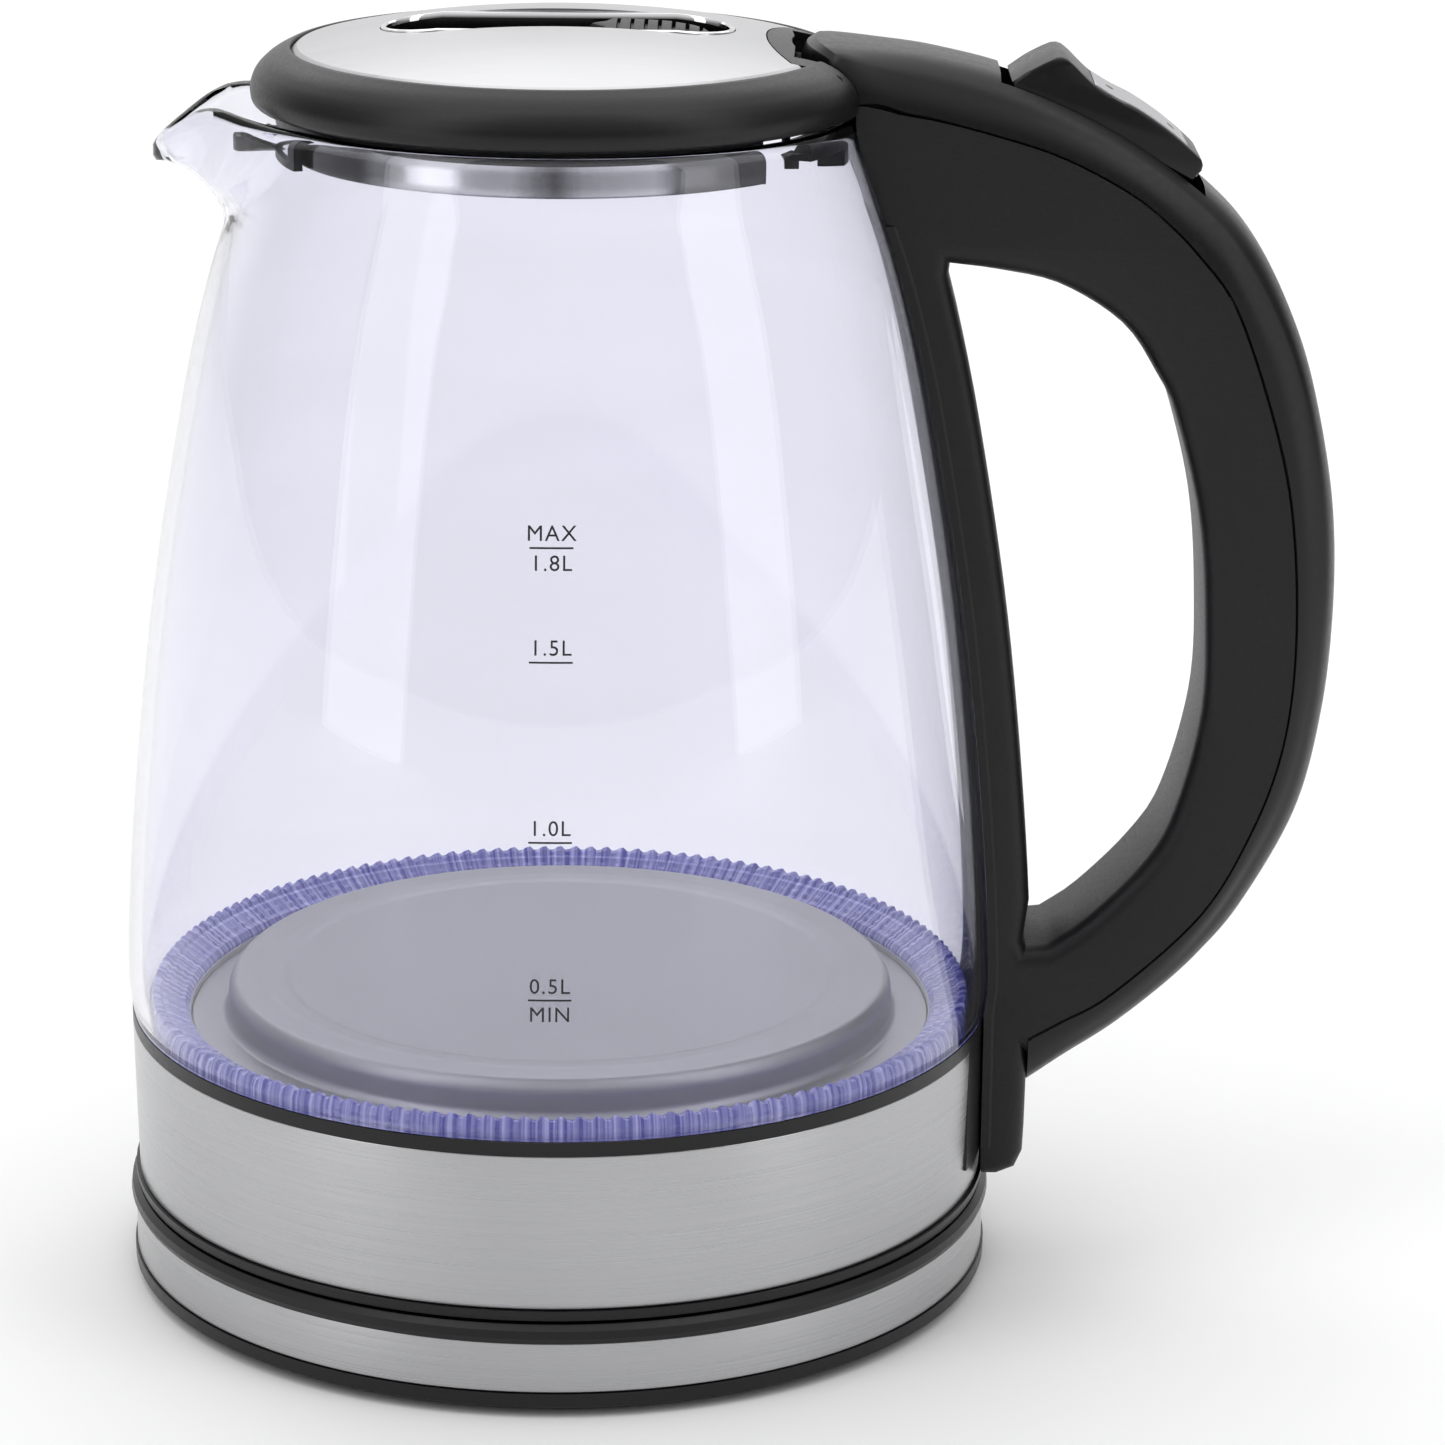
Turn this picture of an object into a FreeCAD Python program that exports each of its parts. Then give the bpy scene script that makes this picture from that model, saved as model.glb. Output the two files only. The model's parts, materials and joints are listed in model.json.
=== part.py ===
import FreeCAD, Part
import math
import os

from FreeCAD import Vector

# Electric kettle with a glass jug on a cordless power base. Millimetres, +Z up.
# The origin is on the kettle's axis, on the plane that it stands on.
# The handle is towards +X, the spout towards -X.

# ---- driving dimensions --------------------------------------------------------------------------
# power base
BASE_BAND_Z = 4.7        # lower edge of the base's steel band
BASE_BAND_H = 9.3
BASE_DECK_Z = 17.5       # top of the base
DECK_T = 2.2
FOOT_H = 1.0             # gap under the bottom cover
FLOOR_T = 2.0
HUB_R = 15.0             # centre hub that the jug drops over
HUB_TOP_Z = 33.0
GLAND_Z = 9.2
CORD_HOLE_R = 3.6

# jug
JUG_R = 79.9             # outside of the trim ring at the glass's foot
JUG_BAND_H = 28.8
BAND_TAPER = 0.7
GLASS_TOP_Z = 218.0      # mouth of the glass
GLASS_WALL = 2.5
MOUTH_R = 54.0           # outside of the glass at its mouth
SPOUT_OUT = 19.0         # from the mouth to the spout's lip
SPOUT_LIP_R = 7.0
SHEET = 0.8              # heater plate
WELL_R = 17.0            # well in the jug's underside that takes the hub

# handle
HANDLE_W = 29.0
HANDLE_REACH = 61.4      # from the jug's radius to the back of the grip
HANDLE_WALL = 2.6
HANDLE_ROUND = 6.0
STRAP_T = 6.6
STRAP_Z = 20.0
GLASS_GAP = 0.3

# lid
PLATE_T = 0.6
HINGE_PIN_R = 1.2
RUNNING = 0.05           # radial clearance of pins that turn
NOSE_R = 7.7             # front of the handle's nose, round the lid hinge
NOSE_GAP = 0.4
ROCKER_PIN_R = 1.5

# ---- values worked out from them -----------------------------------------------------------------
BASE_R = JUG_R + 0.1     # outside of the base's steel band
JUG_FOOT_Z = BASE_DECK_Z + 0.7
JUG_BAND_Z = JUG_FOOT_Z + 1.9
JUG_BAND_TOP_Z = JUG_BAND_Z + JUG_BAND_H
GLASS_Z = JUG_BAND_TOP_Z + 2.8
GLASS_FOOT_R = JUG_R - 0.1
GLASS_H = GLASS_TOP_Z - GLASS_Z
SPOUT_REACH = MOUTH_R + SPOUT_OUT
HEATER_R = JUG_R - 17.9
HEATER_Z = JUG_BAND_TOP_Z + 7.6   # top of the heater plate
WELL_TOP_Z = HUB_TOP_Z + 1.0
BAND_T = 0.5
HANDLE_X = JUG_R + HANDLE_REACH
HALF_W = HANDLE_W / 2
FULL_TURN = 360
FAR = 400.0              # longer than the whole kettle, for cutting tools

# lid
LID_R = MOUTH_R + 1.4
LID_Z = GLASS_TOP_Z + 1.1         # underside of the rim
PLATE_R = LID_R - 7.7
PLATE_EDGE_Z = LID_Z + 10.2
PLATE_TOP_Z = LID_Z + 15.5
DOME_R = (PLATE_R ** 2 + (PLATE_TOP_Z - PLATE_EDGE_Z) ** 2) / (2 * (PLATE_TOP_Z - PLATE_EDGE_Z))
PIVOT_X = MOUTH_R - 6.0           # lid hinge
PIVOT_Z = LID_Z + 6.4
CAP_R = MOUTH_R - 5.9             # steel cap that hangs in the mouth
CAP_Z = LID_Z - 8.6
CAP_FLAT_X = PIVOT_X - 12.0       # the cap is cut flat here, clear of the handle's clamp
RECESS = (15.7 - PLATE_R, PIVOT_X - 17.0, 10.5)     # finger recess: two ends along X, half width
RECESS_Z = LID_Z + 3.9
TRIGGER = (RECESS[1] - 26.0, RECESS[1] - 4.0, 8.3)

# rocker switch
ROCKER_X = PIVOT_X + 0.5252 * (HANDLE_X - PIVOT_X)  # its pivot
ROCKER_Z = PIVOT_Z - 12.5
ROCKER_W = HANDLE_W - 10.0

os.makedirs("parts", exist_ok=True)


# ---- helpers -------------------------------------------------------------------------------------
def save(name, shape):
    shape.exportStep("parts/%s.step" % name)


def group(shapes):
    return Part.makeCompound(shapes)


def box(x0, x1, y0, y1, z0, z1):
    return Part.makeBox(x1 - x0, y1 - y0, z1 - z0, Vector(x0, y0, z0))


def rod(radius, start, end):
    a, b = Vector(*start), Vector(*end)
    return Part.makeCylinder(radius, (b - a).Length, a, b - a)


def disc(radius, z0, z1):
    return Part.makeCylinder(radius, z1 - z0, Vector(0, 0, z0))


def ring(r_in, r_out, z0, z1):
    return disc(r_out, z0, z1).cut(disc(r_in, z0 - 1, z1 + 1))


def spun(profile):
    """A closed outline of (radius, height) points turned about the kettle's axis."""
    points = [Vector(r, 0, z) for r, z in profile]
    face = Part.Face(Part.makePolygon(points + points[:1]))
    return face.revolve(Vector(), Vector(0, 0, 1), FULL_TURN)


def sector(solid, middle_deg, half_deg):
    """The part of a ring-shaped solid that lies within half_deg of a direction."""
    a0, a1 = (math.radians(middle_deg + s * half_deg) for s in (-1, 1))
    z0, z1 = solid.BoundBox.ZMin - 1, solid.BoundBox.ZMax + 1
    points = [Vector(0, 0, z0)]
    points += [Vector(FAR * math.cos(a), FAR * math.sin(a), z0) for a in (a0, a1)]
    wedge = Part.Face(Part.makePolygon(points + points[:1])).extrude(Vector(0, 0, z1 - z0))
    return solid.common(wedge)


def around(radius, angles):
    return [(radius * math.cos(math.radians(a)), radius * math.sin(math.radians(a))) for a in angles]


def curve_xz(points):
    """A smooth edge through (x, z) points in the kettle's middle plane."""
    spline = Part.BSplineCurve()
    spline.interpolate([Vector(x, 0, z) for x, z in points])
    return spline.toShape()


def lines_xz(points):
    return [Part.LineSegment(Vector(a[0], 0, a[1]), Vector(b[0], 0, b[1])).toShape()
            for a, b in zip(points, points[1:]) if math.dist(a, b) > 1e-6]


def slab(edges, half_width):
    """A closed outline in the middle plane, made as wide as the handle is across."""
    wire = Part.Wire(Part.__sortEdges__(edges))
    wire.translate(Vector(0, -half_width, 0))
    return Part.Face(wire).extrude(Vector(0, 2 * half_width, 0))


def plate_xz(points, half_width):
    return slab(lines_xz(points + points[:1]), half_width)


def moved_out(points, distance):
    """Each point of an open curve moved sideways, to the left of its direction."""
    out = []
    for i, (x, z) in enumerate(points):
        (xa, za), (xb, zb) = points[max(i - 1, 0)], points[min(i + 1, len(points) - 1)]
        length = math.hypot(xb - xa, zb - za)
        out.append((x - (zb - za) / length * distance, z + (xb - xa) / length * distance))
    return out


def stadium(x0, x1, half_width, z0, z1):
    ends = [rod(half_width, (x, 0, z0), (x, 0, z1)) for x in (x0 + half_width, x1 - half_width)]
    middle = box(x0 + half_width, x1 - half_width, -half_width, half_width, z0, z1)
    return middle.fuse(ends).removeSplitter()


def dome(drop):
    """Everything under the lid's dome, lowered by drop."""
    return Part.makeSphere(DOME_R - drop, Vector(0, 0, PLATE_TOP_Z - DOME_R))


# ---- the glass's outline -------------------------------------------------------------------------
# share of the glass's height, and share of the way from its foot's radius to its mouth's
GLASS_SHAPE = [(0.0, 0.0), (0.06, -0.027), (0.235, 0.043), (0.463, 0.202), (0.686, 0.442),
               (0.817, 0.636), (0.905, 0.822), (0.96, 0.95), (1.0, 1.0)]


def glass_points(offset):
    return [(GLASS_FOOT_R + share * (MOUTH_R - GLASS_FOOT_R) + offset, GLASS_Z + up * GLASS_H)
            for up, share in GLASS_SHAPE]


def glass_core(offset, bottom, top):
    """The space inside the glass's outline, moved out by offset, closed at two heights past its ends."""
    points = glass_points(offset)
    edges = [curve_xz(points)]
    first, last = points[0], points[-1]
    edges += lines_xz([last, (last[0], top), (0, top), (0, bottom), (first[0], bottom), first])
    face = Part.Face(Part.Wire(Part.__sortEdges__(edges)))
    return face.revolve(Vector(), Vector(0, 0, 1), FULL_TURN)


def jug_space(offset):
    """The whole jug's outside, moved out by offset: foot, trim ring and glass."""
    foot = disc(JUG_R + offset, 0, GLASS_Z)
    return glass_core(offset, GLASS_Z - 1, GLASS_TOP_Z + offset).fuse(foot)


# ---- power base ----------------------------------------------------------------------------------
BAND_TOP = BASE_BAND_Z + BASE_BAND_H
SKIRT_R = BASE_R - BAND_T - 0.1
SCREW_R, HEAD_R = 1.5, 2.8
BASE_SCREWS = around(BASE_R - 35, (30, 150, 270))
GLAND_R = 4.2
SEAT_RING = (BASE_R - 20, BASE_R - 14)
PIN_R, BLADE = 3.0, (8.0, 9.0)
SLOT = (7.2, 9.8)


def foot_ring():
    feet = ring(BASE_R - 18, BASE_R - 10, 0, FOOT_H + 0.6)
    lugs = ring(BASE_R - 11, BASE_R - 3, 0, FOOT_H)
    return feet.fuse([sector(lugs, a, 6) for a in (-150, -30, 90)]).removeSplitter()


def gland_hole(radius):
    return rod(radius, (0, BASE_R - 12, GLAND_Z), (0, BASE_R + 5, GLAND_Z))


def base_bottom_cover():
    top = FOOT_H + FLOOR_T
    lip = BASE_BAND_Z - 0.1
    wall = SKIRT_R - 2.3
    rise = BASE_BAND_Z + 5
    cover = spun([(0, FOOT_H), (BASE_R - 1.6, FOOT_H), (BASE_R + 0.4, FOOT_H + 1.2), (BASE_R + 0.4, lip),
                  (wall, lip), (wall, rise), (wall - 2, rise), (wall - 2, top), (0, top)])
    for x, y in BASE_SCREWS:
        cover = cover.cut([rod(SCREW_R + 0.2, (x, y, 0), (x, y, top + 1)),
                           rod(HEAD_R + 0.2, (x, y, 0), (x, y, FOOT_H + 1.2))])
    return cover.cut([foot_ring(), gland_hole(GLAND_R + 0.2)])


def base_top_cover():
    deck = BASE_DECK_Z - DECK_T
    inner = SKIRT_R - 2.2
    cover = spun([(HUB_R + 0.1, deck), (inner, deck), (inner, BASE_BAND_Z), (SKIRT_R, BASE_BAND_Z),
                  (SKIRT_R, BAND_TOP + 0.1), (BASE_R + 0.4, BAND_TOP + 0.1), (BASE_R + 0.9, BAND_TOP + 1.2),
                  (BASE_R + 0.7, BASE_DECK_Z - 0.9), (BASE_R - 0.4, BASE_DECK_Z), (SEAT_RING[1], BASE_DECK_Z),
                  (SEAT_RING[1], JUG_FOOT_Z - 0.2), (SEAT_RING[0], JUG_FOOT_Z - 0.2),
                  (SEAT_RING[0], BASE_DECK_Z), (HUB_R + 0.1, BASE_DECK_Z)])
    for x, y in BASE_SCREWS:
        cover = cover.fuse(rod(4, (x, y, FOOT_H + FLOOR_T), (x, y, deck + 1)))
        cover = cover.cut(rod(SCREW_R, (x, y, 0), (x, y, deck - 2)))
    return cover.cut(gland_hole(GLAND_R + 0.2)).removeSplitter()


def base_socket():
    """The hub of the connector, with a hole for the jug's pin and a round slot for its ring."""
    hub = spun([(0, 6), (HUB_R, 6), (HUB_R, HUB_TOP_Z - 2), (HUB_R - 2, HUB_TOP_Z), (0, HUB_TOP_Z)])
    return hub.cut([disc(PIN_R + 1.2, 15, HUB_TOP_Z + 1), ring(SLOT[0], SLOT[1], 17, HUB_TOP_Z + 1)])


def cord_gland():
    y0 = BASE_R - 8.5
    y1 = BASE_R + 2.4
    body = rod(GLAND_R, (0, y0, GLAND_Z), (0, y1, GLAND_Z))
    flange = rod(GLAND_R + 1.4, (0, y0 - 2, GLAND_Z), (0, y0 + 0.2, GLAND_Z))
    hole = rod(CORD_HOLE_R, (0, y0 - 3, GLAND_Z), (0, y1 + 1, GLAND_Z))
    return body.fuse(flange).removeSplitter().cut(hole)


def base_screw(x, y):
    head = rod(HEAD_R, (x, y, FOOT_H + 0.2), (x, y, FOOT_H + 1.2))
    return head.fuse(rod(SCREW_R, (x, y, FOOT_H + 1.2), (x, y, FOOT_H + 11)))


def power_base():
    save("foot_ring", foot_ring())
    save("base_bottom_cover", base_bottom_cover())
    band = ring(BASE_R - BAND_T, BASE_R, BASE_BAND_Z, BAND_TOP)
    save("base_steel_band", band.cut(gland_hole(GLAND_R + 0.1)))
    save("base_top_cover", base_top_cover())
    save("base_socket", base_socket())
    save("base_contacts", group([ring(PIN_R + 0.3, PIN_R + 1.15, 15.2, 20),
                                 ring(SLOT[0] + 0.05, BLADE[0] - 0.3, 17.2, 21)]))
    save("base_ring_contact", ring(BLADE[1] + 0.2, SLOT[1] - RUNNING, 17.2, 22))
    save("cord_gland", cord_gland())
    leads = [rod(1.1, (x, HUB_R + 0.2, GLAND_Z), (x, BASE_R - 10.7, GLAND_Z)) for x in (-3.0, 0.0, 3.0)]
    save("base_leads", group(leads))
    save("base_screws", group([base_screw(x, y) for x, y in BASE_SCREWS]))


# ---- foot of the jug -----------------------------------------------------------------------------
SHELL_R = JUG_R - BAND_TAPER - BAND_T - 0.1   # outside of the plastic shell behind the steel band
SHELL_T = 2.2
SHELL_DECK_Z = JUG_BAND_TOP_Z - 2.4
WING = (HALF_W + 10.5, JUG_BAND_Z + 5.4)       # panel in the band's cut-out: half width, lower edge
SEAL_TOP_Z = JUG_BAND_TOP_Z + 1.2
FLANGE_R = HEATER_R + 7
LIGHT_R = (FLANGE_R + 0.4, JUG_R - GLASS_WALL - 0.6)
CHANNEL_R = (FLANGE_R + 1, JUG_R - 3.9)        # groove for the lights' board
CONTROL = (24.0, WELL_TOP_Z + 4, HEATER_Z - 4.1)   # radius, bottom, top
FOOT_SCREWS = around(FLANGE_R, (30, 150, 270))
PLATE_UNDER_Z = HEATER_Z - 0.5 - SHEET
SPREADER_Z = PLATE_UNDER_Z - 1.1
HANDLE_SCREW_Y = 8.0
HANDLE_SCREW_Z = STRAP_Z + 16


def wing_block(r_in, r_out, grow):
    half, low = WING[0] + grow, WING[1] - grow
    return ring(r_in, r_out, low, JUG_BAND_TOP_Z).common(box(0, FAR, -half, half, 0, FAR))


def handle_screw_holes(radius):
    return [rod(radius, (JUG_R - 10, s * HANDLE_SCREW_Y, HANDLE_SCREW_Z),
                (JUG_R + 4.5, s * HANDLE_SCREW_Y, HANDLE_SCREW_Z)) for s in (-1, 1)]


def jug_steel_band():
    low, top = JUG_R - BAND_TAPER, JUG_R
    band = spun([(low, JUG_BAND_Z), (top, JUG_BAND_TOP_Z), (top - BAND_T, JUG_BAND_TOP_Z),
                 (low - BAND_T, JUG_BAND_Z)])
    return band.cut(wing_block(SHELL_R - 1, JUG_R + 1, 0.2))


def jug_base_shell():
    wall = SHELL_R - SHELL_T
    channel = JUG_BAND_TOP_Z - 1.3
    seat = JUG_BAND_TOP_Z - 0.5
    under = SHELL_DECK_Z - 1
    near, far = CHANNEL_R
    shell = spun([(SHELL_R, JUG_BAND_Z + 0.3), (SHELL_R, JUG_BAND_TOP_Z), (far, JUG_BAND_TOP_Z),
                  (far, channel), (near, channel), (near, seat), (HEATER_R + 1, seat), (HEATER_R + 1, under), (wall, under),
                  (wall, JUG_BAND_Z + 0.3)])
    shell = shell.fuse(wing_block(SHELL_R - 1, JUG_R - 0.1, 0))
    for x, y in FOOT_SCREWS:
        shell = shell.fuse(rod(3.6, (x, y, JUG_FOOT_Z + FLOOR_T), (x, y, SHELL_DECK_Z)))
        shell = shell.cut(rod(SCREW_R, (x, y, 0), (x, y, SHELL_DECK_Z - 6)))
    return shell.cut(handle_screw_holes(SCREW_R)).removeSplitter()


def jug_bottom_cover():
    top = JUG_FOOT_Z + FLOOR_T
    wall = SHELL_R - SHELL_T - 0.1
    well_top = WELL_TOP_Z + 2
    cover = spun([(WELL_R, JUG_FOOT_Z), (JUG_R - 0.2, JUG_FOOT_Z), (JUG_R, JUG_FOOT_Z + 0.8),
                  (JUG_R, JUG_BAND_Z - 0.1), (wall, JUG_BAND_Z - 0.1), (wall, JUG_BAND_Z + 4),
                  (wall - 1.6, JUG_BAND_Z + 4), (wall - 1.6, top), (WELL_R + 2, top), (WELL_R + 2, well_top),
                  (BLADE[1] + 1.5, well_top), (BLADE[1] + 1.5, WELL_TOP_Z), (WELL_R, WELL_TOP_Z)])
    for x, y in FOOT_SCREWS:
        cover = cover.cut([rod(SCREW_R + 0.2, (x, y, 0), (x, y, top + 1)),
                           rod(HEAD_R + 0.2, (x, y, 0), (x, y, JUG_FOOT_Z + 1.2))])
    return cover.removeSplitter()


def heater_plate():
    t, z, r = SHEET, HEATER_Z, HEATER_R
    low = JUG_BAND_TOP_Z - 0.5
    dish = z - 0.5
    slope = (r - 11.5, r - 6.7)
    outer = [(0, dish), (slope[0], dish), (slope[1], z), (r - 1.5, z), (r, z - 1.5), (r, low + t + 0.8),
             (r + 0.8, low + t), (FLANGE_R, low + t)]
    inner = [(FLANGE_R, low), (r + 0.8 - t, low), (r - t, low + 0.8), (r - t, z - 1.5 - 0.3),
             (r - 1.5 - 0.3, z - t), (slope[1], z - t), (slope[0], dish - t), (0, dish - t)]
    return spun(outer + inner)


def heating_element():
    """A tube bent to most of a circle, its two ends turned down."""
    radius = HEATER_R - 18
    tube = 3.4
    z = SPREADER_Z - tube
    ring_tube = Part.makeTorus(radius, tube, Vector(0, 0, z), Vector(0, 0, 1), 0, 360, 300)
    ring_tube.rotate(Vector(), Vector(0, 0, 1), 30)
    ends = [rod(tube - 0.4, (x, y, z - 8), (x, y, z)) for x, y in around(radius, (30, 330))]
    return ring_tube.fuse(ends)


def contact_pins():
    return group([disc(PIN_R, 19.5, CONTROL[1] + 3), ring(BLADE[0], BLADE[1], 20, CONTROL[1] + 3)])


def control_unit():
    radius, low, high = CONTROL
    unit = disc(radius, low, high).fuse(disc(BLADE[1] + 1.2, WELL_TOP_Z + 1, low)).removeSplitter()
    return unit.cut([disc(PIN_R, 0, low + 3), ring(BLADE[0], BLADE[1], 0, low + 3)])


def foot_screw(x, y):
    head = rod(HEAD_R, (x, y, JUG_FOOT_Z + 0.2), (x, y, JUG_FOOT_Z + 1.2))
    return head.fuse(rod(SCREW_R, (x, y, JUG_FOOT_Z + 1.2), (x, y, JUG_FOOT_Z + 14)))


def handle_screw(side):
    y, x = side * HANDLE_SCREW_Y, JUG_R - 5.9
    head = rod(HEAD_R, (x - 1.5, y, HANDLE_SCREW_Z), (x, y, HANDLE_SCREW_Z))
    return head.fuse(rod(SCREW_R, (x, y, HANDLE_SCREW_Z), (JUG_R + 4, y, HANDLE_SCREW_Z)))


def jug_foot():
    led_places = around((CHANNEL_R[0] + CHANNEL_R[1]) / 2, range(15, 375, 30))
    save("jug_steel_band", jug_steel_band())
    save("jug_base_shell", jug_base_shell())
    save("jug_bottom_cover", jug_bottom_cover())
    save("jug_trim_ring", ring(LIGHT_R[1] + 0.2, JUG_R, JUG_BAND_TOP_Z, GLASS_Z - 0.2))
    seal = ring(FLANGE_R + 0.2, CHANNEL_R[1] + 0.3, JUG_BAND_TOP_Z, SEAL_TOP_Z)
    save("glass_seal", seal.cut([rod(1.9, (x, y, 0), (x, y, FAR)) for x, y in led_places]))
    save("heater_plate", heater_plate())
    save("heat_spreader", disc(HEATER_R - 13, SPREADER_Z, PLATE_UNDER_Z))
    save("heating_element", heating_element())
    save("control_unit", control_unit())
    save("contact_pins", contact_pins())
    bimetals = [rod(8, (x, 0, CONTROL[2] + 0.1), (x, 0, CONTROL[2] + 0.7)) for x in (-11, 11)]
    save("dry_boil_discs", group(bimetals))
    save("light_ring", ring(LIGHT_R[0], LIGHT_R[1], SEAL_TOP_Z, HEATER_Z - 1.2))
    save("light_board", ring(CHANNEL_R[0] + 0.2, CHANNEL_R[1] - 0.2, JUG_BAND_TOP_Z - 1.3, JUG_BAND_TOP_Z))
    save("lights", group([rod(1.6, (x, y, JUG_BAND_TOP_Z), (x, y, SEAL_TOP_Z - 0.1))
                          for x, y in led_places]))
    save("foot_screws", group([foot_screw(x, y) for x, y in FOOT_SCREWS]))
    save("handle_screws", group([handle_screw(s) for s in (-1, 1)]))


# ---- glass ---------------------------------------------------------------------------------------
SPOUT_ROOT_X = -0.37 * MOUTH_R
SPOUT_ROOT_R = MOUTH_R / 2
# height below the mouth, share of the spout's reach past the mouth, share of its lip's width
SPOUT_SECTIONS = [(26.0, -0.16, 1.5), (17.0, 0.12, 1.35), (10.5, 0.62, 1.15), (6.0, 0.93, 1.0),
                  (-2.0, 1.0, 1.0)]
SPOUT_DIP = 5.0          # how far the lip is under the mouth


def spout_section(down, share, width, inset):
    """A drop shape: a large arc inside the jug, a small arc at the lip, and their two tangents."""
    z = GLASS_TOP_Z - down
    r_big, r_small = SPOUT_ROOT_R - inset, SPOUT_LIP_R * width - inset
    reach = MOUTH_R + share * (SPOUT_REACH - MOUTH_R) - inset
    x_big, x_small = SPOUT_ROOT_X, -(reach - r_small)
    lean = math.acos((r_big - r_small) / (x_big - x_small))
    c, s = math.cos(lean), math.sin(lean)
    near, far = (x_small - r_small * c, r_small * s), (x_big - r_big * c, r_big * s)
    up, tip = [Vector(p[0], p[1], z) for p in (near, far)], Vector(x_small - r_small, 0, z)
    down_side = [Vector(v.x, -v.y, v.z) for v in up]
    back = Vector(x_big + r_big, 0, z)
    return Part.Wire([Part.Arc(down_side[0], tip, up[0]).toShape(), Part.LineSegment(up[0], up[1]).toShape(),
                      Part.Arc(up[1], back, down_side[1]).toShape(),
                      Part.LineSegment(down_side[1], down_side[0]).toShape()])


def spout(inset):
    return Part.makeLoft([spout_section(d, s, w, inset) for d, s, w in SPOUT_SECTIONS], True, False)


def glass_body():
    outside = glass_core(0, GLASS_Z, GLASS_TOP_Z).fuse(spout(0))
    inside = glass_core(-GLASS_WALL, GLASS_Z - 5, GLASS_TOP_Z + 5).fuse(spout(GLASS_WALL))
    glass = outside.cut(inside)
    root = -(MOUTH_R - 2)
    end = -SPOUT_REACH - 1
    above = plate_xz([(FAR, GLASS_TOP_Z), (root, GLASS_TOP_Z), (end, GLASS_TOP_Z - SPOUT_DIP),
                      (end, GLASS_TOP_Z + 10), (FAR, GLASS_TOP_Z + 10)], FAR)
    return glass.cut(above)


# ---- handle --------------------------------------------------------------------------------------
def handle_x(share):
    """A distance from the kettle's axis: 0 is over the lid hinge, 1 is the back of the grip."""
    return PIVOT_X + share * (HANDLE_X - PIVOT_X)


# the handle's back, from its nose over the top and round to the strap:
# share of its reach, share of its height
BACK = [(-0.054, 1.0277), (0.04, 1.0253), (0.209, 1.0151), (0.362, 0.9985), (0.557, 0.9586),
        (0.725, 0.9051), (0.828, 0.8540), (0.906, 0.7830), (0.954, 0.7109), (0.991, 0.6204), (1, 0.5285),
        (0.985, 0.4350), (0.94, 0.3431), (0.839, 0.2511), (0.691, 0.1737), (0.588, 0.1343),
        (0.492, 0.1046), (0.418, 0.0803)]
# the joint between the outer cover and the inner shell
SEAM = [(-0.2, 0.9800), (0.069, 0.9800), (0.205, 0.9674), (0.318, 0.9543), (0.433, 0.9377),
        (0.548, 0.9119), (0.625, 0.8871), (0.704, 0.8516), (0.784, 0.7995), (0.872, 0.6827),
        (0.908, 0.5932), (0.917, 0.4891), (0.899, 0.4073), (0.847, 0.3324), (0.753, 0.2540),
        (0.583, 0.1786), (0.42, 0.1363)]
# the finger gap's side along the grip, from the strap at the top round to the strap at the bottom
GAP_GRIP = [(0.335, 0.8399), (0.444, 0.8243), (0.565, 0.7903), (0.63, 0.7470), (0.671, 0.7095),
            (0.722, 0.6195), (0.742, 0.5270), (0.74, 0.4341), (0.69, 0.3397), (0.627, 0.2895),
            (0.53, 0.2433)]
GAP_ENDS = (0.219, 0.8443)


def handle_z(share):
    """A height: 0 is the foot of the strap, 1 is the lid hinge."""
    return STRAP_Z + share * (PIVOT_Z - STRAP_Z)


def shape_xz(shares):
    return [(handle_x(s), handle_z(h)) for s, h in shares]


def strap_x(z):
    """The outside of the strap, which keeps its thickness over the glass."""
    points = glass_points(GLASS_GAP + STRAP_T)
    for (ra, za), (rb, zb) in zip(points, points[1:]):
        if za <= z <= zb:
            return ra + (rb - ra) * (z - za) / (zb - za)
    return points[0][0]


def nose_arc(radius, half_width):
    return rod(radius, (PIVOT_X, -half_width, PIVOT_Z), (PIVOT_X, half_width, PIVOT_Z))


def loop_block(inset):
    """The whole handle as one block, from the nose to the foot of the cover."""
    back = moved_out(shape_xz(BACK), -inset)
    first, last = back[0], back[-1]
    edges = [curve_xz(back)] + lines_xz([last, (first[0], last[1]), first])
    block = slab(edges, HALF_W - inset)
    if inset:
        return block
    crown = [e for e in block.Edges if e.BoundBox.XLength > HANDLE_REACH]
    crown = [e for e in crown if e.BoundBox.ZLength > GLASS_H / 2]
    return block.makeFillet(HANDLE_ROUND, crown)


def finger_gap(outset, half_width):
    grip = moved_out(shape_xz(GAP_GRIP), outset)
    bottom, top = (handle_z(share) for share in GAP_ENDS)
    heights = [bottom - outset + i * (top + outset * 2 - bottom) / 5 for i in range(6)]
    strap = [(strap_x(z) - outset, z) for z in heights]
    ends = lines_xz([strap[-1], grip[0]]) + lines_xz([grip[-1], strap[0]])
    return slab([curve_xz(strap), curve_xz(grip)] + ends, half_width)


def cover_side():
    """Everything on the outer side of the seam."""
    seam = shape_xz(SEAM)
    x0, z0 = seam[0]
    x1, z1 = seam[-1]
    path = [(x1, z1), (x1, 0), (FAR, 0), (FAR, FAR), (x0, FAR), (x0, z0)]
    return slab([curve_xz(seam)] + lines_xz(path), FAR)


def nose_space():
    """What the handle leaves free for the lid, in front of the nose."""
    front = box(-FAR, PIVOT_X, -FAR, FAR, GLASS_TOP_Z + 0.3, FAR)
    return front.cut(nose_arc(NOSE_R, FAR))


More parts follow.
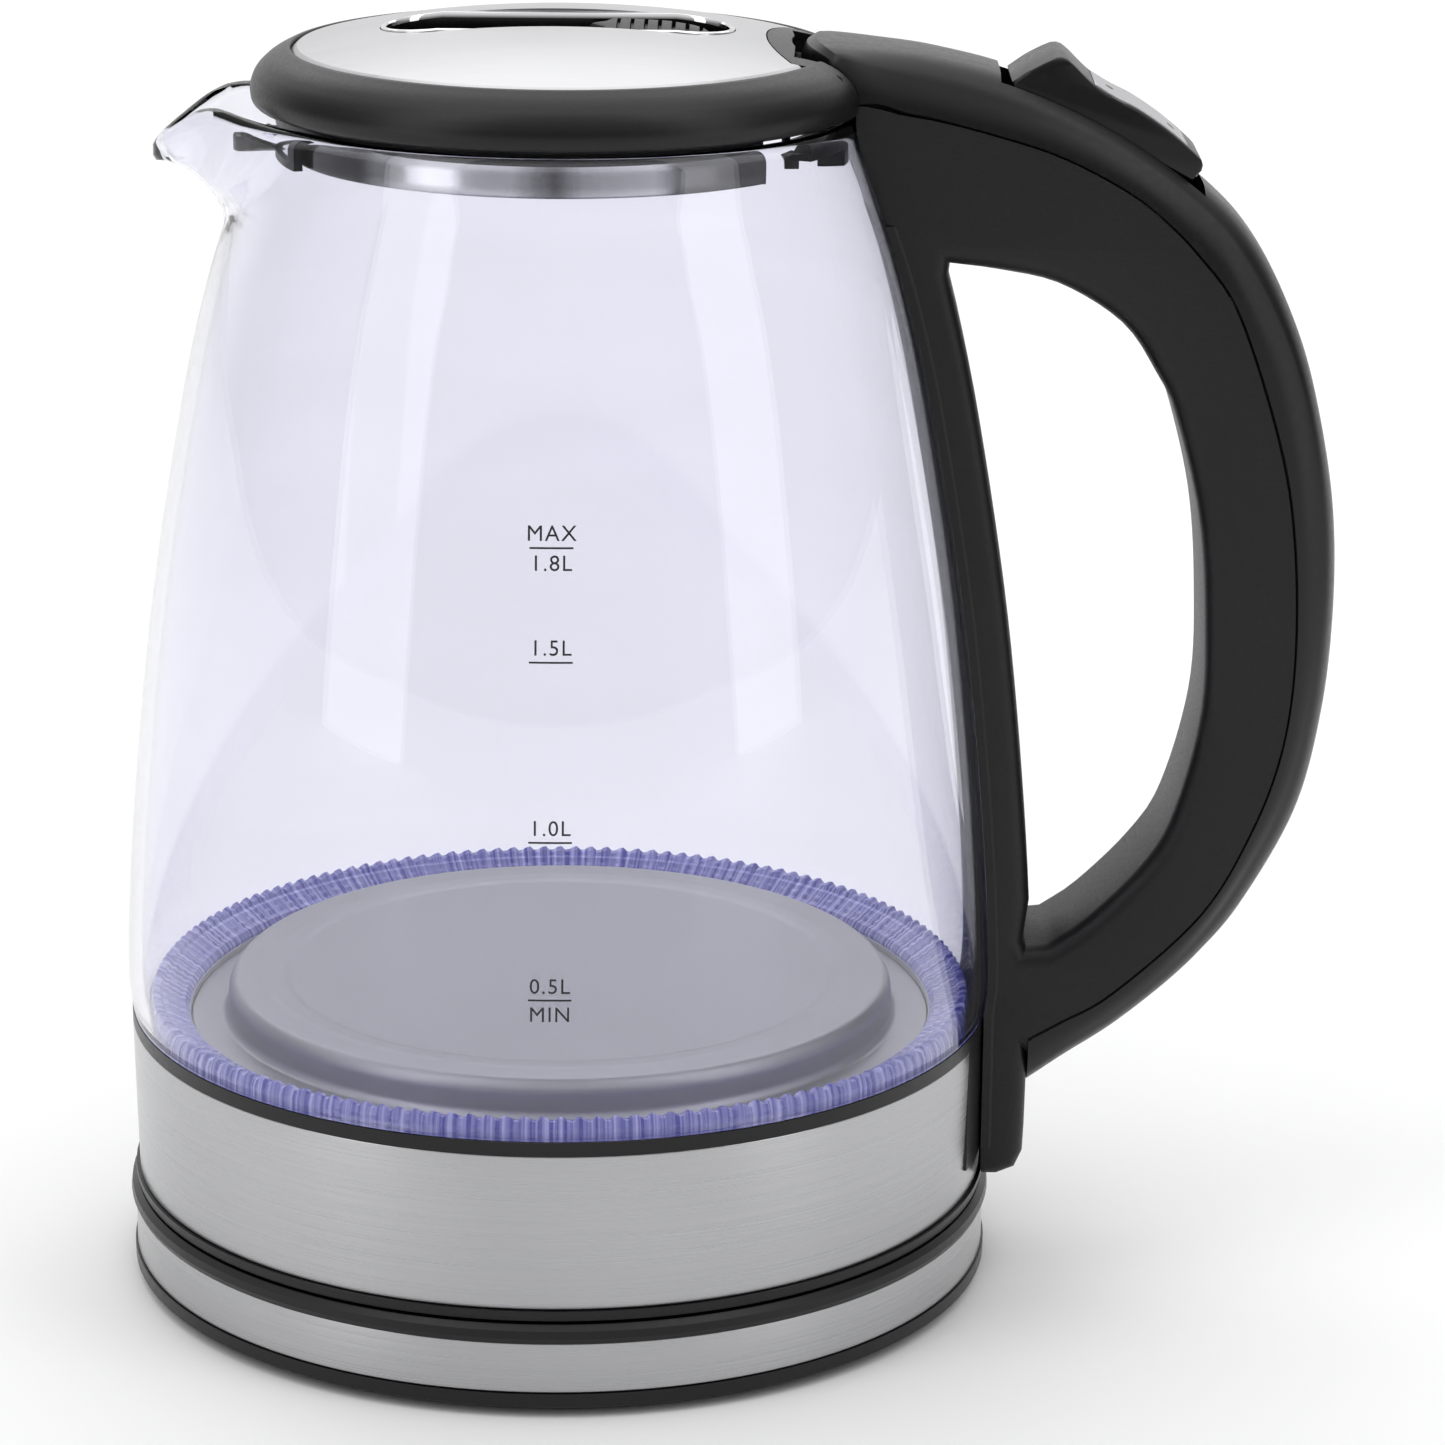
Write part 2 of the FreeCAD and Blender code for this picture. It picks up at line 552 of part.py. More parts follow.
def rocker_window():
    low, high = ROCKER_X - 20.0, ROCKER_X + 19.2
    half = ROCKER_W / 2 + 0.5
    return box(low, high, -half, half, ROCKER_Z - 12.5, ROCKER_Z + 25)


def handle_pieces():
    block = loop_block(0).cut(finger_gap(0, FAR))
    strap = jug_space(GLASS_GAP + STRAP_T).common(box(0, FAR, -HALF_W, HALF_W, STRAP_Z, GLASS_TOP_Z - 28))
    body = block.fuse(strap).cut(jug_space(GLASS_GAP))
    solid = [finger_gap(HANDLE_WALL, FAR), jug_space(GLASS_GAP + STRAP_T + HANDLE_WALL),
             box(-FAR, PIVOT_X + 12, -FAR, FAR, 0, FAR)]
    cavity = loop_block(HANDLE_WALL).cut(solid)
    body = body.cut([cavity, nose_space()])
    outer = cover_side()
    pin = rod(HINGE_PIN_R, (PIVOT_X, -HALF_W, PIVOT_Z), (PIVOT_X, HALF_W, PIVOT_Z))
    rocker_pin = rod(ROCKER_PIN_R, (ROCKER_X, -HALF_W + 2.6, ROCKER_Z), (ROCKER_X, HALF_W - 2.6, ROCKER_Z))
    screws = handle_screw_holes(SCREW_R)
    cover = body.common(outer).cut([pin, rocker_pin, rocker_window()] + screws)
    groove = jug_space(GLASS_GAP + 3).common(box(0, FAR, -2.4, 2.4, GLASS_Z, GLASS_TOP_Z - 13))
    inner = body.cut([outer, groove] + screws)
    return cover, inner


def biggest(shape):
    return max(shape.Solids, key=lambda s: s.Volume)


# ---- clamp, pins and leads that stay with the jug ------------------------------------------------
CLAMP = (MOUTH_R - 7, GLASS_TOP_Z - 4.4, GLASS_TOP_Z - 1)     # inner radius, underside of its ledge, top
CLAMP_OUT = MOUTH_R - GLASS_WALL - 0.3


def rim_clamp():
    hook = sector(ring(CLAMP[0], CLAMP_OUT, CLAMP[1], CLAMP[2]), 0, 32)
    riser = ring(CLAMP[0], CLAMP_OUT, CAP_Z, GLASS_TOP_Z + 0.3).common(box(0, FAR, -13, 13, 0, FAR))
    return hook.fuse(riser).removeSplitter()


def handle_leads():
    ribbon = jug_space(GLASS_GAP + 2.6).cut(jug_space(GLASS_GAP + 1.0))
    return ribbon.common(box(0, FAR, -1.8, 1.8, GLASS_Z + 1, GLASS_TOP_Z - 28))


# ---- rocker switch and the steam switch under it -------------------------------------------------
# two ends along X, half width, bottom, top
SWITCH = (ROCKER_X - 6, ROCKER_X + 10, ROCKER_W / 2 - 1, ROCKER_Z - 19.5, ROCKER_Z - 11)
LEVER_X = ROCKER_X + 2
LEVER_Z = ROCKER_Z - 8
LEVER_PIN_R = 0.8
ROCKER_OUTLINE = [(-17.0, 12.8), (-8.1, 16.4), (-2.5, 11.6), (5.6, 7.3), (16.6, -1.3), (17.2, -3.4),
                  (15.5, -5.3), (4.0, 1.0), (-8.0, 7.0), (-16.4, 8.5)]
ROCKER_POCKET = [(-14.8, 11.7), (-8.1, 14.1), (-3.4, 9.9), (4.8, 5.7), (14.2, -1.5), (14.2, -6.5),
                 (-14.8, 5.5)]


def rocker_outline(points):
    return [(ROCKER_X + x, ROCKER_Z + z) for x, z in points]


def rocker():
    half = ROCKER_W / 2
    body = plate_xz(rocker_outline(ROCKER_OUTLINE), half)
    body = body.cut(plate_xz(rocker_outline(ROCKER_POCKET), half - 1.8))
    hub = rod(ROCKER_PIN_R + 1.7, (ROCKER_X, -half, ROCKER_Z), (ROCKER_X, half, ROCKER_Z))
    web = box(ROCKER_X - 3.2, ROCKER_X + 3.2, -half, half, ROCKER_Z, ROCKER_Z + 9)
    under = ROCKER_OUTLINE[:8] + [(4.0, -4.0), (-4.0, -4.0), ROCKER_OUTLINE[-1]]
    hub = hub.fuse(web).common(plate_xz(rocker_outline(under), half))
    leg = box(ROCKER_X - 1.2, ROCKER_X + 1.2, -3, 3, ROCKER_Z - 4, ROCKER_Z + 3.5)
    body = body.fuse([hub, leg])
    ends = [(ROCKER_X, s * (half + 1), ROCKER_Z) for s in (-1, 1)]
    return body.cut(rod(ROCKER_PIN_R + RUNNING, ends[0], ends[1]))


def rocker_insert():
    """A thin plate let into the rocker's sloping top."""
    top = rocker_outline([(-1.6, 11.15), (14.6, 0.3)])
    (xa, za), (xb, zb) = top
    mid = [(xa, za), (ROCKER_X + 5.6, ROCKER_Z + 7.35), (xb, zb)]
    low = [(x - 0.25, z - 0.55) for x, z in reversed(mid)]
    return plate_xz(mid + low, ROCKER_W / 2 - 2.2)


def steam_switch():
    x0, x1, half, z0, z1 = SWITCH
    body = box(x0, x1, -half, half, z0, z1)
    ear = box(LEVER_X - 2, LEVER_X + 2, -1.2, 1.2, z1, LEVER_Z + 1.8)
    ears = [ear.translated(Vector(0, s * 5.0, 0)) for s in (-1, 1)]
    pin = rod(LEVER_PIN_R, (LEVER_X, -7, LEVER_Z), (LEVER_X, 7, LEVER_Z))
    return body.fuse(ears).cut(pin)


def switch_lever():
    arm = box(LEVER_X - 6.5, LEVER_X + 6.5, -3.4, 3.4, LEVER_Z - 0.8, LEVER_Z + 0.8)
    hub = rod(1.8, (LEVER_X, -3.4, LEVER_Z), (LEVER_X, 3.4, LEVER_Z))
    return arm.fuse(hub).cut(rod(LEVER_PIN_R + RUNNING, (LEVER_X, -9, LEVER_Z), (LEVER_X, 9, LEVER_Z)))


def switch_parts():
    insert = rocker_insert()
    save("rocker", biggest(rocker().cut(insert)))
    save("rocker_insert", insert)
    pin_half = HALF_W - 2.7
    save("rocker_pin", rod(ROCKER_PIN_R, (ROCKER_X, -pin_half, ROCKER_Z), (ROCKER_X, pin_half, ROCKER_Z)))
    save("steam_switch", steam_switch())
    save("steam_disc", rod(4.8, (SWITCH[0] - 0.9, 0, SWITCH[4] - 3), (SWITCH[0] - 0.2, 0, SWITCH[4] - 3)))
    save("lever_pin", rod(LEVER_PIN_R, (LEVER_X, -6.2, LEVER_Z), (LEVER_X, 6.2, LEVER_Z)))
    save("switch_lever", switch_lever())


# ---- lid -----------------------------------------------------------------------------------------
SHELF_R = PLATE_R - 3.7
EAR_R = 2.1
LID_SCREWS = around(PLATE_R - 11.2, (115, 180, 245))


def lid_notch(grow):
    """The space that every lid piece leaves for the handle's nose."""
    half = HALF_W + 0.7 + grow
    behind = box(PIVOT_X, FAR, -half, half, GLASS_TOP_Z - 20, FAR)
    return nose_arc(NOSE_R + NOSE_GAP + grow, half).fuse(behind)


def lid_rim():
    shelf = PLATE_EDGE_Z - PLATE_T - 0.1
    rim = spun([(LID_R - 3, LID_Z), (LID_R - 0.4, LID_Z + 0.9), (LID_R, LID_Z + 3.4),
                (LID_R - 0.9, LID_Z + 6), (LID_R - 1.9, LID_Z + 7.2), (LID_R - 3.7, LID_Z + 8.6),
                (LID_R - 6.3, LID_Z + 9.9), (PLATE_R + 0.2, LID_Z + 10.3), (PLATE_R + 0.2, shelf),
                (SHELF_R, shelf), (SHELF_R, LID_Z + 7.2), (LID_R - 6.8, LID_Z + 6.6),
                (LID_R - 4.2, LID_Z + 4), (LID_R - 4.2, LID_Z)])
    ends = [(s * (HALF_W + 0.8), s * (HALF_W + 5)) for s in (-1, 1)]
    ears = [rod(EAR_R, (PIVOT_X, a, PIVOT_Z), (PIVOT_X, b, PIVOT_Z)) for a, b in ends]
    ears = [e.common(disc(LID_R - 2, 0, FAR)) for e in ears]
    bore = rod(HINGE_PIN_R + RUNNING, (PIVOT_X, -30, PIVOT_Z), (PIVOT_X, 30, PIVOT_Z))
    return rim.cut(lid_notch(0)).fuse(ears).cut(bore).removeSplitter()


def lid_plate():
    shell = dome(0).cut(dome(PLATE_T)).common(disc(PLATE_R, PLATE_EDGE_Z - 1.5, FAR))
    x0, x1, half = RECESS
    hole = stadium(x0 - 0.2, x1 + 0.2, half + 0.2, 0, FAR)
    return shell.cut([hole, lid_notch(1.0)])


def lid_base():
    x0, x1, half = RECESS
    base = disc(SHELF_R - 0.1, LID_Z + 6.8, LID_Z + 9.3)
    return base.cut([stadium(x0 - 0.2, x1 + 0.2, half + 0.2, 0, FAR), lid_notch(0.5)])


def lid_recess():
    x0, x1, half = RECESS
    wall = 1.2
    cup = stadium(x0, x1, half, RECESS_Z, FAR).common(dome(-0.3))
    cup = cup.cut(stadium(x0 + wall, x1 - wall, half - wall, RECESS_Z + wall, FAR))
    stem_slot = box(TRIGGER[0] + 3.5, TRIGGER[0] + 15.5, -3.2, 3.2, 0, RECESS_Z + 2)
    return cup.cut(stem_slot)


def lid_trigger():
    x0, x1, half = TRIGGER
    low = RECESS_Z + 1.5
    tail = rod(half, (x1 - half, 0, low), (x1 - half, 0, FAR))
    body = box(x0 + 3, x1 - half, -half, half, low, FAR)
    corners = [Vector(x0 + 3.1, -half, low), Vector(x0, 0, low), Vector(x0 + 3.1, half, low)]
    beak = Part.Face(Part.makePolygon(corners + corners[:1])).extrude(Vector(0, 0, 20))
    top = body.fuse([tail, beak]).common(dome(1.0))
    grooves = [box(x0 + 5 + i * 2.5, x0 + 5.7 + i * 2.5, -half, half, PLATE_TOP_Z - 2 - 0.06 * i * i, FAR)
               for i in range(7)]
    stem = box(x0 + 7, x0 + 15, -2.8, 2.8, LATCH_TOP_Z, low + 0.5)
    return top.cut(grooves).fuse(stem)


LATCH_TOP_Z = LID_Z + 2.1
LATCH_T = 1.6
LEG_Y = (HALF_W + 3.5, HALF_W + 7.5)
LEG_X = math.sqrt(CLAMP[0] ** 2 - LEG_Y[1] ** 2) - 2.23
TOE_Z = (CLAMP[1] - 2.1, CLAMP[1] - 0.6)


def latch_leg(side, length, top):
    """A leg of the latch, or its toe: both start at the toe's lower face."""
    ends = sorted(side * y for y in LEG_Y)
    return box(LEG_X, LEG_X + length, ends[0], ends[1], TOE_Z[0], top)


def latch_slide():
    """The bar under the trigger, its cross piece, and the two hooks that hold the lid to the clamp."""
    z0 = LATCH_TOP_Z - LATCH_T
    bar = box(TRIGGER[0] + 3, LEG_X + 1.5, -4, 4, z0, LATCH_TOP_Z)
    cross = box(LEG_X - 2.5, LEG_X + 1.5, -LEG_Y[1], LEG_Y[1], z0, LATCH_TOP_Z)
    legs = [latch_leg(s, 1.5, LATCH_TOP_Z) for s in (-1, 1)]
    toes = [latch_leg(s, 2.4, TOE_Z[1]) for s in (-1, 1)]
    return bar.fuse([cross] + legs + toes).removeSplitter()


def lid_inner_cap():
    z, r = CAP_Z, CAP_R
    cap = spun([(0, z), (r - 0.8, z), (r, z + 0.8), (r, LID_Z - 2.9), (r - PLATE_T, LID_Z - 2.9),
                (r - PLATE_T, z + 1), (r - 1.1, z + PLATE_T), (0, z + PLATE_T)])
    wall = disc(r - 0.1, z, LID_Z - 2.9).common(box(CAP_FLAT_X - PLATE_T, CAP_FLAT_X, -FAR, FAR, 0, FAR))
    return cap.common(box(-FAR, CAP_FLAT_X, -FAR, FAR, 0, FAR)).fuse(wall).removeSplitter()


def lid_inner_ring():
    body = ring(SHELF_R, LID_R - 4.6, LID_Z - 2.9, LID_Z)
    return body.common(box(-FAR, CAP_FLAT_X, -FAR, FAR, 0, FAR))


def lid_screw(x, y):
    head = rod(HEAD_R, (x, y, CAP_Z + PLATE_T), (x, y, CAP_Z + PLATE_T + 1.4))
    return head.fuse(rod(SCREW_R, (x, y, CAP_Z + PLATE_T), (x, y, LID_Z + 6.8)))


def strainer_frame():
    low, high = CAP_Z - 0.6, LID_Z - 3.0
    frame = sector(ring(CAP_R + 0.3, CAP_R + 2.1, low, high), 180, 26)
    window = sector(ring(CAP_R - 1, CAP_R + 4, low + 1.4, high - 1.2), 180, 22)
    tab = box(-CAP_R - 9.5, -CAP_R - 1, -5, 5, low + 0.2, low + 3.0)
    tab = tab.cut(disc(CAP_R + 1.45, 0, FAR))
    return frame.cut(window).fuse(tab).removeSplitter()


def strainer_mesh():
    low, high = CAP_Z + 0.8, LID_Z - 4.2
    return sector(ring(CAP_R + 1.0, CAP_R + 1.3, low, high), 180, 22)


def lid():
    save("lid_rim", lid_rim())
    save("lid_plate", lid_plate())
    save("lid_base", lid_base())
    save("lid_recess", lid_recess())
    save("lid_trigger", lid_trigger())
    save("latch_slide", latch_slide())
    save("lid_inner_cap", lid_inner_cap())
    save("lid_inner_ring", lid_inner_ring())
    save("lid_screws", group([lid_screw(x, y) for x, y in LID_SCREWS]))
    save("strainer_frame", strainer_frame())
    save("strainer_mesh", strainer_mesh())


def jug():
    save("glass_body", glass_body())
    cover, inner = handle_pieces()
    save("handle_outer_cover", biggest(cover))
    save("handle_inner_shell", biggest(inner))
    save("rim_clamp", rim_clamp())
    save("handle_leads", handle_leads())
    pin_half = HALF_W + 4.5
    ends = [(PIVOT_X, s * pin_half, PIVOT_Z) for s in (-1, 1)]
    save("hinge_pin", rod(HINGE_PIN_R, ends[0], ends[1]))


power_base()
jug_foot()
jug()
switch_parts()
lid()
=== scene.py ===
import json
import math

import bmesh
import bpy
from mathutils import Matrix, Vector

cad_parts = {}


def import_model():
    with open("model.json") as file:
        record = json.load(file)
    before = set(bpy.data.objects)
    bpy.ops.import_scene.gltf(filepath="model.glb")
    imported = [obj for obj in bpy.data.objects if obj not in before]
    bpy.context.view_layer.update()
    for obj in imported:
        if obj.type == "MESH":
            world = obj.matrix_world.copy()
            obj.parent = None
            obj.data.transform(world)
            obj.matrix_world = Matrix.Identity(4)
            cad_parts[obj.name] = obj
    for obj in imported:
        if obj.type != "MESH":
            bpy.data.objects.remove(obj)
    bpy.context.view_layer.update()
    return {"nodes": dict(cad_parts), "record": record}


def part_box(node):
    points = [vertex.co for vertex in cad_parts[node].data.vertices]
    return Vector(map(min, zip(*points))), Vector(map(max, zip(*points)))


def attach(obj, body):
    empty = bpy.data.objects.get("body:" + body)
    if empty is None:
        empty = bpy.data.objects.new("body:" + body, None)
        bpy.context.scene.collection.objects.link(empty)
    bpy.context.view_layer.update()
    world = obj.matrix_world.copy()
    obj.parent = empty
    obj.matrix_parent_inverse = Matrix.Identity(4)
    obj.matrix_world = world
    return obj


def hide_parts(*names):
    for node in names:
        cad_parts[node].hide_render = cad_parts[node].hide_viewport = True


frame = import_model()

# Sizes here are millimetres in the kettle's own frame, and metres only once a mesh is made.
MM = 0.001


def node_box(name):
    low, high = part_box(name)
    return [v / MM for v in low], [v / MM for v in high]


# ---- sizes taken from the CAD model --------------------------------------------------------------
BASE_LOW, BASE_HIGH = node_box("base_steel_band")
BAND_LOW, BAND_HIGH = node_box("jug_steel_band")
GLASS_LOW, GLASS_HIGH = node_box("glass_body")
PLATE_LOW, PLATE_HIGH = node_box("heater_plate")
LIGHT_LOW, LIGHT_HIGH = node_box("light_ring")
CUP_LOW, CUP_HIGH = node_box("lid_recess")
TRIGGER_LOW, TRIGGER_HIGH = node_box("lid_trigger")
CAP_LOW, CAP_HIGH = node_box("lid_inner_cap")
ROCKER_LOW, ROCKER_HIGH = node_box("rocker")
PIN_LOW, PIN_HIGH = node_box("hinge_pin")
STRAINER_LOW, STRAINER_HIGH = node_box("strainer_frame")

BASE_R = BASE_HIGH[0]
JUG_R = node_box("jug_trim_ring")[1][0]
GLASS_Z = GLASS_LOW[2]
GLASS_TOP = GLASS_HIGH[2]
LID_R = -node_box("lid_rim")[0][0]
LID_Z = node_box("lid_rim")[0][2]
PLATE_R = -node_box("lid_plate")[0][0]
HALF_W = node_box("handle_inner_shell")[1][1]
PIVOT_X = (PIN_LOW[0] + PIN_HIGH[0]) / 2
PIVOT_Z = (PIN_LOW[2] + PIN_HIGH[2]) / 2

# ---- sizes that the boxes don't give -------------------------------------------------------------
SPOUT_TIP_X = -73.0
SPOUT_LIP_R = 7.0
MOUTH_R = 54.0           # outside of the glass at its mouth
WALL = 2.5               # glass
SHEET = 0.6              # lid plate and inner cap
BAND_T = 0.5             # steel bands
PIN_HOLE_R = 1.25        # bore for the lid's hinge pin


# ---- mesh helpers --------------------------------------------------------------------------------
def finished(mesh, name, sharp=35):
    """A linked object from a mesh in metres, shaded smooth apart from its sharp edges."""
    mesh.validate()
    mesh.shade_smooth()
    mesh.set_sharp_from_angle(angle=math.radians(sharp))
    obj = bpy.data.objects.new(name, mesh)
    bpy.context.scene.collection.objects.link(obj)
    return obj


def mesh_object(name, points, faces, sharp=35):
    mesh = bpy.data.meshes.new(name)
    mesh.from_pydata([(x * MM, y * MM, z * MM) for x, y, z in points], [], faces)
    mesh.update()
    return finished(mesh, name, sharp)


def grid(name, rows, closed=True, sharp=35):
    """A surface through closed rows of points. The last row joins the first, or else both get a cap."""
    count = len(rows[0])
    points = [p for row in rows for p in row]
    faces = []
    for i in range(len(rows) if closed else len(rows) - 1):
        j = (i + 1) % len(rows)
        for k in range(count):
            m = (k + 1) % count
            faces.append((i * count + k, i * count + m, j * count + m, j * count + k))
    if not closed:
        faces.append(tuple(reversed(range(count))))
        faces.append(tuple((len(rows) - 1) * count + k for k in range(count)))
    return mesh_object(name, points, faces, sharp)


def rounded(outline, steps=4):
    """A closed outline of (r, z, corner radius) points with its corners rounded."""
    out = []
    for i, (x, z, radius) in enumerate(outline):
        here = Vector((x, z))
        before, after = Vector(outline[i - 1][:2]), Vector(outline[(i + 1) % len(outline)][:2])
        a, b = before - here, after - here
        if radius <= 0 or a.length < 1e-6 or b.length < 1e-6:
            out.append((x, z))
            continue
        back = min(radius, a.length * 0.45, b.length * 0.45)
        start, end = here + a.normalized() * back, here + b.normalized() * back
        for k in range(steps + 1):
            t = k / steps
            p = start * (1 - t) ** 2 + here * (2 * t * (1 - t)) + end * t ** 2
            out.append((p.x, p.y))
    return out


def lathe(name, outline, seg=256, sharp=35):
    """A ring turned about the kettle's axis from a closed (r, z) outline."""
    rows = []
    for k in range(seg):
        a = 2 * math.pi * k / seg
        rows.append([(r * math.cos(a), r * math.sin(a), z) for r, z in outline])
    return tidy(grid(name, rows, sharp=sharp))


def tidy(obj):
    """Points that fall together are joined, and the faces that this empties go."""
    bm = bmesh.new()
    bm.from_mesh(obj.data)
    bmesh.ops.remove_doubles(bm, verts=bm.verts, dist=1e-6)
    bmesh.ops.dissolve_degenerate(bm, dist=1e-7, edges=bm.edges)
    bmesh.ops.recalc_face_normals(bm, faces=bm.faces)
    bm.to_mesh(obj.data)
    bm.free()
    return obj


def applied(obj):
    """The object with its modifiers worked into its mesh."""
    graph = bpy.context.evaluated_depsgraph_get()
    mesh = bpy.data.meshes.new_from_object(obj.evaluated_get(graph))
    obj.modifiers.clear()
    if obj.type == "MESH":
        obj.data = mesh
        return obj
    name = obj.name
    bpy.data.objects.remove(obj)
    return finished(mesh, name)


def cut(obj, tools, operation="DIFFERENCE", sharp=35):
    """Takes the tools out of obj, and removes them."""
    for tool in tools:
        mod = obj.modifiers.new("cut", "BOOLEAN")
        mod.operation, mod.solver, mod.object = operation, "EXACT", tool
        applied(obj)
        bpy.data.objects.remove(tool)
    obj.data.shade_smooth()
    obj.data.set_sharp_from_angle(angle=math.radians(sharp))
    return obj


def bevelled(obj, width, segments, angle):
    mod = obj.modifiers.new("bevel", "BEVEL")
    mod.width, mod.segments, mod.limit_method = width * MM, segments, "ANGLE"
    mod.angle_limit = math.radians(angle)
    return applied(obj)


def prism(name, outline, low, high, axis="Z"):
    """A closed outline of two coordinates, drawn out along the third."""
    rows = []
    for t in (low, high):
        if axis == "X":
            rows.append([(t, a, b) for a, b in outline])
        elif axis == "Y":
            rows.append([(a, t, b) for a, b in outline])
        else:
            rows.append([(a, b, t) for a, b in outline])
    return tidy(grid(name, rows, closed=False))


def circle(cx, cy, radius):
    return arc(cx, cy, radius, 0, 345, 23)


def arc(cx, cy, radius, a0, a1, steps):
    return [(cx + radius * math.cos(math.radians(a0 + (a1 - a0) * k / steps)),
             cy + radius * math.sin(math.radians(a0 + (a1 - a0) * k / steps))) for k in range(steps + 1)]


def stadium(x0, x1, half, steps):
    return arc(x1 - half, 0, half, -90, 90, steps) + arc(x0 + half, 0, half, 90, 270, steps)


def smooth(points, count):
    """Points spread evenly along a smooth curve (Catmull-Rom) through the given ones."""
    ext = [tuple(2 * a - b for a, b in zip(points[0], points[1]))] + list(points)
    ext += [tuple(2 * a - b for a, b in zip(points[-1], points[-2]))]
    dense = []
    for p0, p1, p2, p3 in zip(ext, ext[1:], ext[2:], ext[3:]):
        for k in range(12):
            t = k / 12
            dense.append(tuple(
                0.5 * (2 * b + (c - a) * t + (2 * a - 5 * b + 4 * c - d) * t * t
                       + (3 * b - a - 3 * c + d) * t ** 3) for a, b, c, d in zip(p0, p1, p2, p3)))
    dense.append(tuple(points[-1]))
    lengths = [0.0]
    for a, b in zip(dense, dense[1:]):
        lengths.append(lengths[-1] + math.dist(a, b))
    out, i = [], 0
    for k in range(count):
        want = lengths[-1] * k / (count - 1)
        while i < len(lengths) - 2 and lengths[i + 1] < want:
            i += 1
        t = (want - lengths[i]) / max(lengths[i + 1] - lengths[i], 1e-9)
        out.append(tuple(a + (b - a) * t for a, b in zip(dense[i], dense[i + 1])))
    return out


# ---- materials -----------------------------------------------------------------------------------
RANGE = ("From Min", "From Max", "To Min", "To Max")


class Shader:
    """A material's node tree, with short ways to add nodes."""

    def __init__(self, name, **sockets):
        self.mat = bpy.data.materials.new(name)
        self.mat.use_nodes = True
        self.tree = self.mat.node_tree
        self.bsdf = self.tree.nodes["Principled BSDF"]
        self.output = self.tree.nodes["Material Output"]
        for key, value in sockets.items():
            self.bsdf.inputs[key.replace("_", " ")].default_value = value

    def node(self, kind, **values):
        made = self.tree.nodes.new(kind)
        for key, value in values.items():
            if key in made.inputs:
                made.inputs[key].default_value = value
            else:
                setattr(made, key, value)
        return made

    def link(self, a, b):
        self.tree.links.new(a, b)

    def place(self, scale):
        """The object's own coordinates, stretched."""
        coords, mapping = self.node("ShaderNodeTexCoord"), self.node("ShaderNodeMapping")
        mapping.inputs["Scale"].default_value = scale
        self.link(coords.outputs["Object"], mapping.inputs["Vector"])
        return mapping.outputs["Vector"]

    def noise(self, scale, detail=3.0, rough=0.5):
        made = self.node("ShaderNodeTexNoise", Scale=1.0, Detail=detail, Roughness=rough)
        self.link(self.place(scale), made.inputs["Vector"])
        return made.outputs["Fac"]

    def around(self, scale, detail, rough):
        """The angle about the kettle's axis, and noise that changes only with it."""
        coords, split = self.node("ShaderNodeTexCoord"), self.node("ShaderNodeSeparateXYZ")
        self.link(coords.outputs["Object"], split.inputs[0])
        turn = self.node("ShaderNodeMath", operation="ARCTAN2")
        self.link(split.outputs[1], turn.inputs[0])
        self.link(split.outputs[0], turn.inputs[1])
        spun = self.node("ShaderNodeCombineXYZ")
        self.link(turn.outputs[0], spun.inputs[0])
        made = self.node("ShaderNodeTexNoise", Scale=scale, Detail=detail, Roughness=rough)
        self.link(spun.outputs[0], made.inputs["Vector"])
        return turn.outputs[0], made.outputs["Fac"]

    def ramp(self, fac, low, high, out_low, out_high):
        made = self.node("ShaderNodeMapRange")
        for key, value in zip(RANGE, (low, high, out_low, out_high)):
            made.inputs[key].default_value = value
        self.link(fac, made.inputs["Value"])
        return made.outputs["Result"]

    def colours(self, fac, low, high):
        made = self.node("ShaderNodeMix", data_type="RGBA")
        made.inputs[6].default_value = (*low, 1)
        made.inputs[7].default_value = (*high, 1)
        self.link(fac, made.inputs[0])
        self.link(made.outputs[2], self.bsdf.inputs["Base Color"])

    def bump(self, height, strength, distance):
        made = self.node("ShaderNodeBump", Strength=strength, Distance=distance)
        self.link(height, made.inputs["Height"])
        self.link(made.outputs["Normal"], self.bsdf.inputs["Normal"])


def black_plastic(name, grain, low, high, rough, relief):
    s = Shader(name)
    s.bsdf.inputs["Specular IOR Level"].default_value = 0.36
    fine = s.noise((grain,) * 3, 2.0)
    cloud = s.noise((22,) * 3, 2.0)
    s.colours(s.ramp(cloud, 0.3, 0.7, 0, 1), (low, low, low * 1.04), (high, high, high * 1.04))
    s.link(s.ramp(fine, 0.3, 0.7, *rough), s.bsdf.inputs["Roughness"])
    s.bump(fine, relief, 0.0002)
    return s.mat


def brushed(name, stretch, low, high, rough=(0.24, 0.36), aniso=0.6, tangent=None, turn=0.0):
    s = Shader(name, Metallic=1.0, Anisotropic=aniso)
    s.bsdf.inputs["Anisotropic Rotation"].default_value = turn
    lines = s.noise(stretch, 4.0, 0.65)
    cloud = s.noise((16,) * 3, 2.0)
    mixed = s.node("ShaderNodeMath", operation="MULTIPLY_ADD")
    s.link(lines, mixed.inputs[0])
    mixed.inputs[1].default_value = 0.8
    s.link(s.ramp(cloud, 0.3, 0.7, 0.0, 0.2), mixed.inputs[2])
    s.colours(s.ramp(mixed.outputs[0], 0.3, 0.75, 0, 1), low, high)
    s.link(s.ramp(lines, 0.3, 0.7, *rough), s.bsdf.inputs["Roughness"])
    s.bump(lines, 0.10, 0.00008)
    if tangent:
        made = s.node("ShaderNodeTangent", direction_type="RADIAL", axis=tangent)
        s.link(made.outputs["Tangent"], s.bsdf.inputs["Tangent"])
    return s.mat


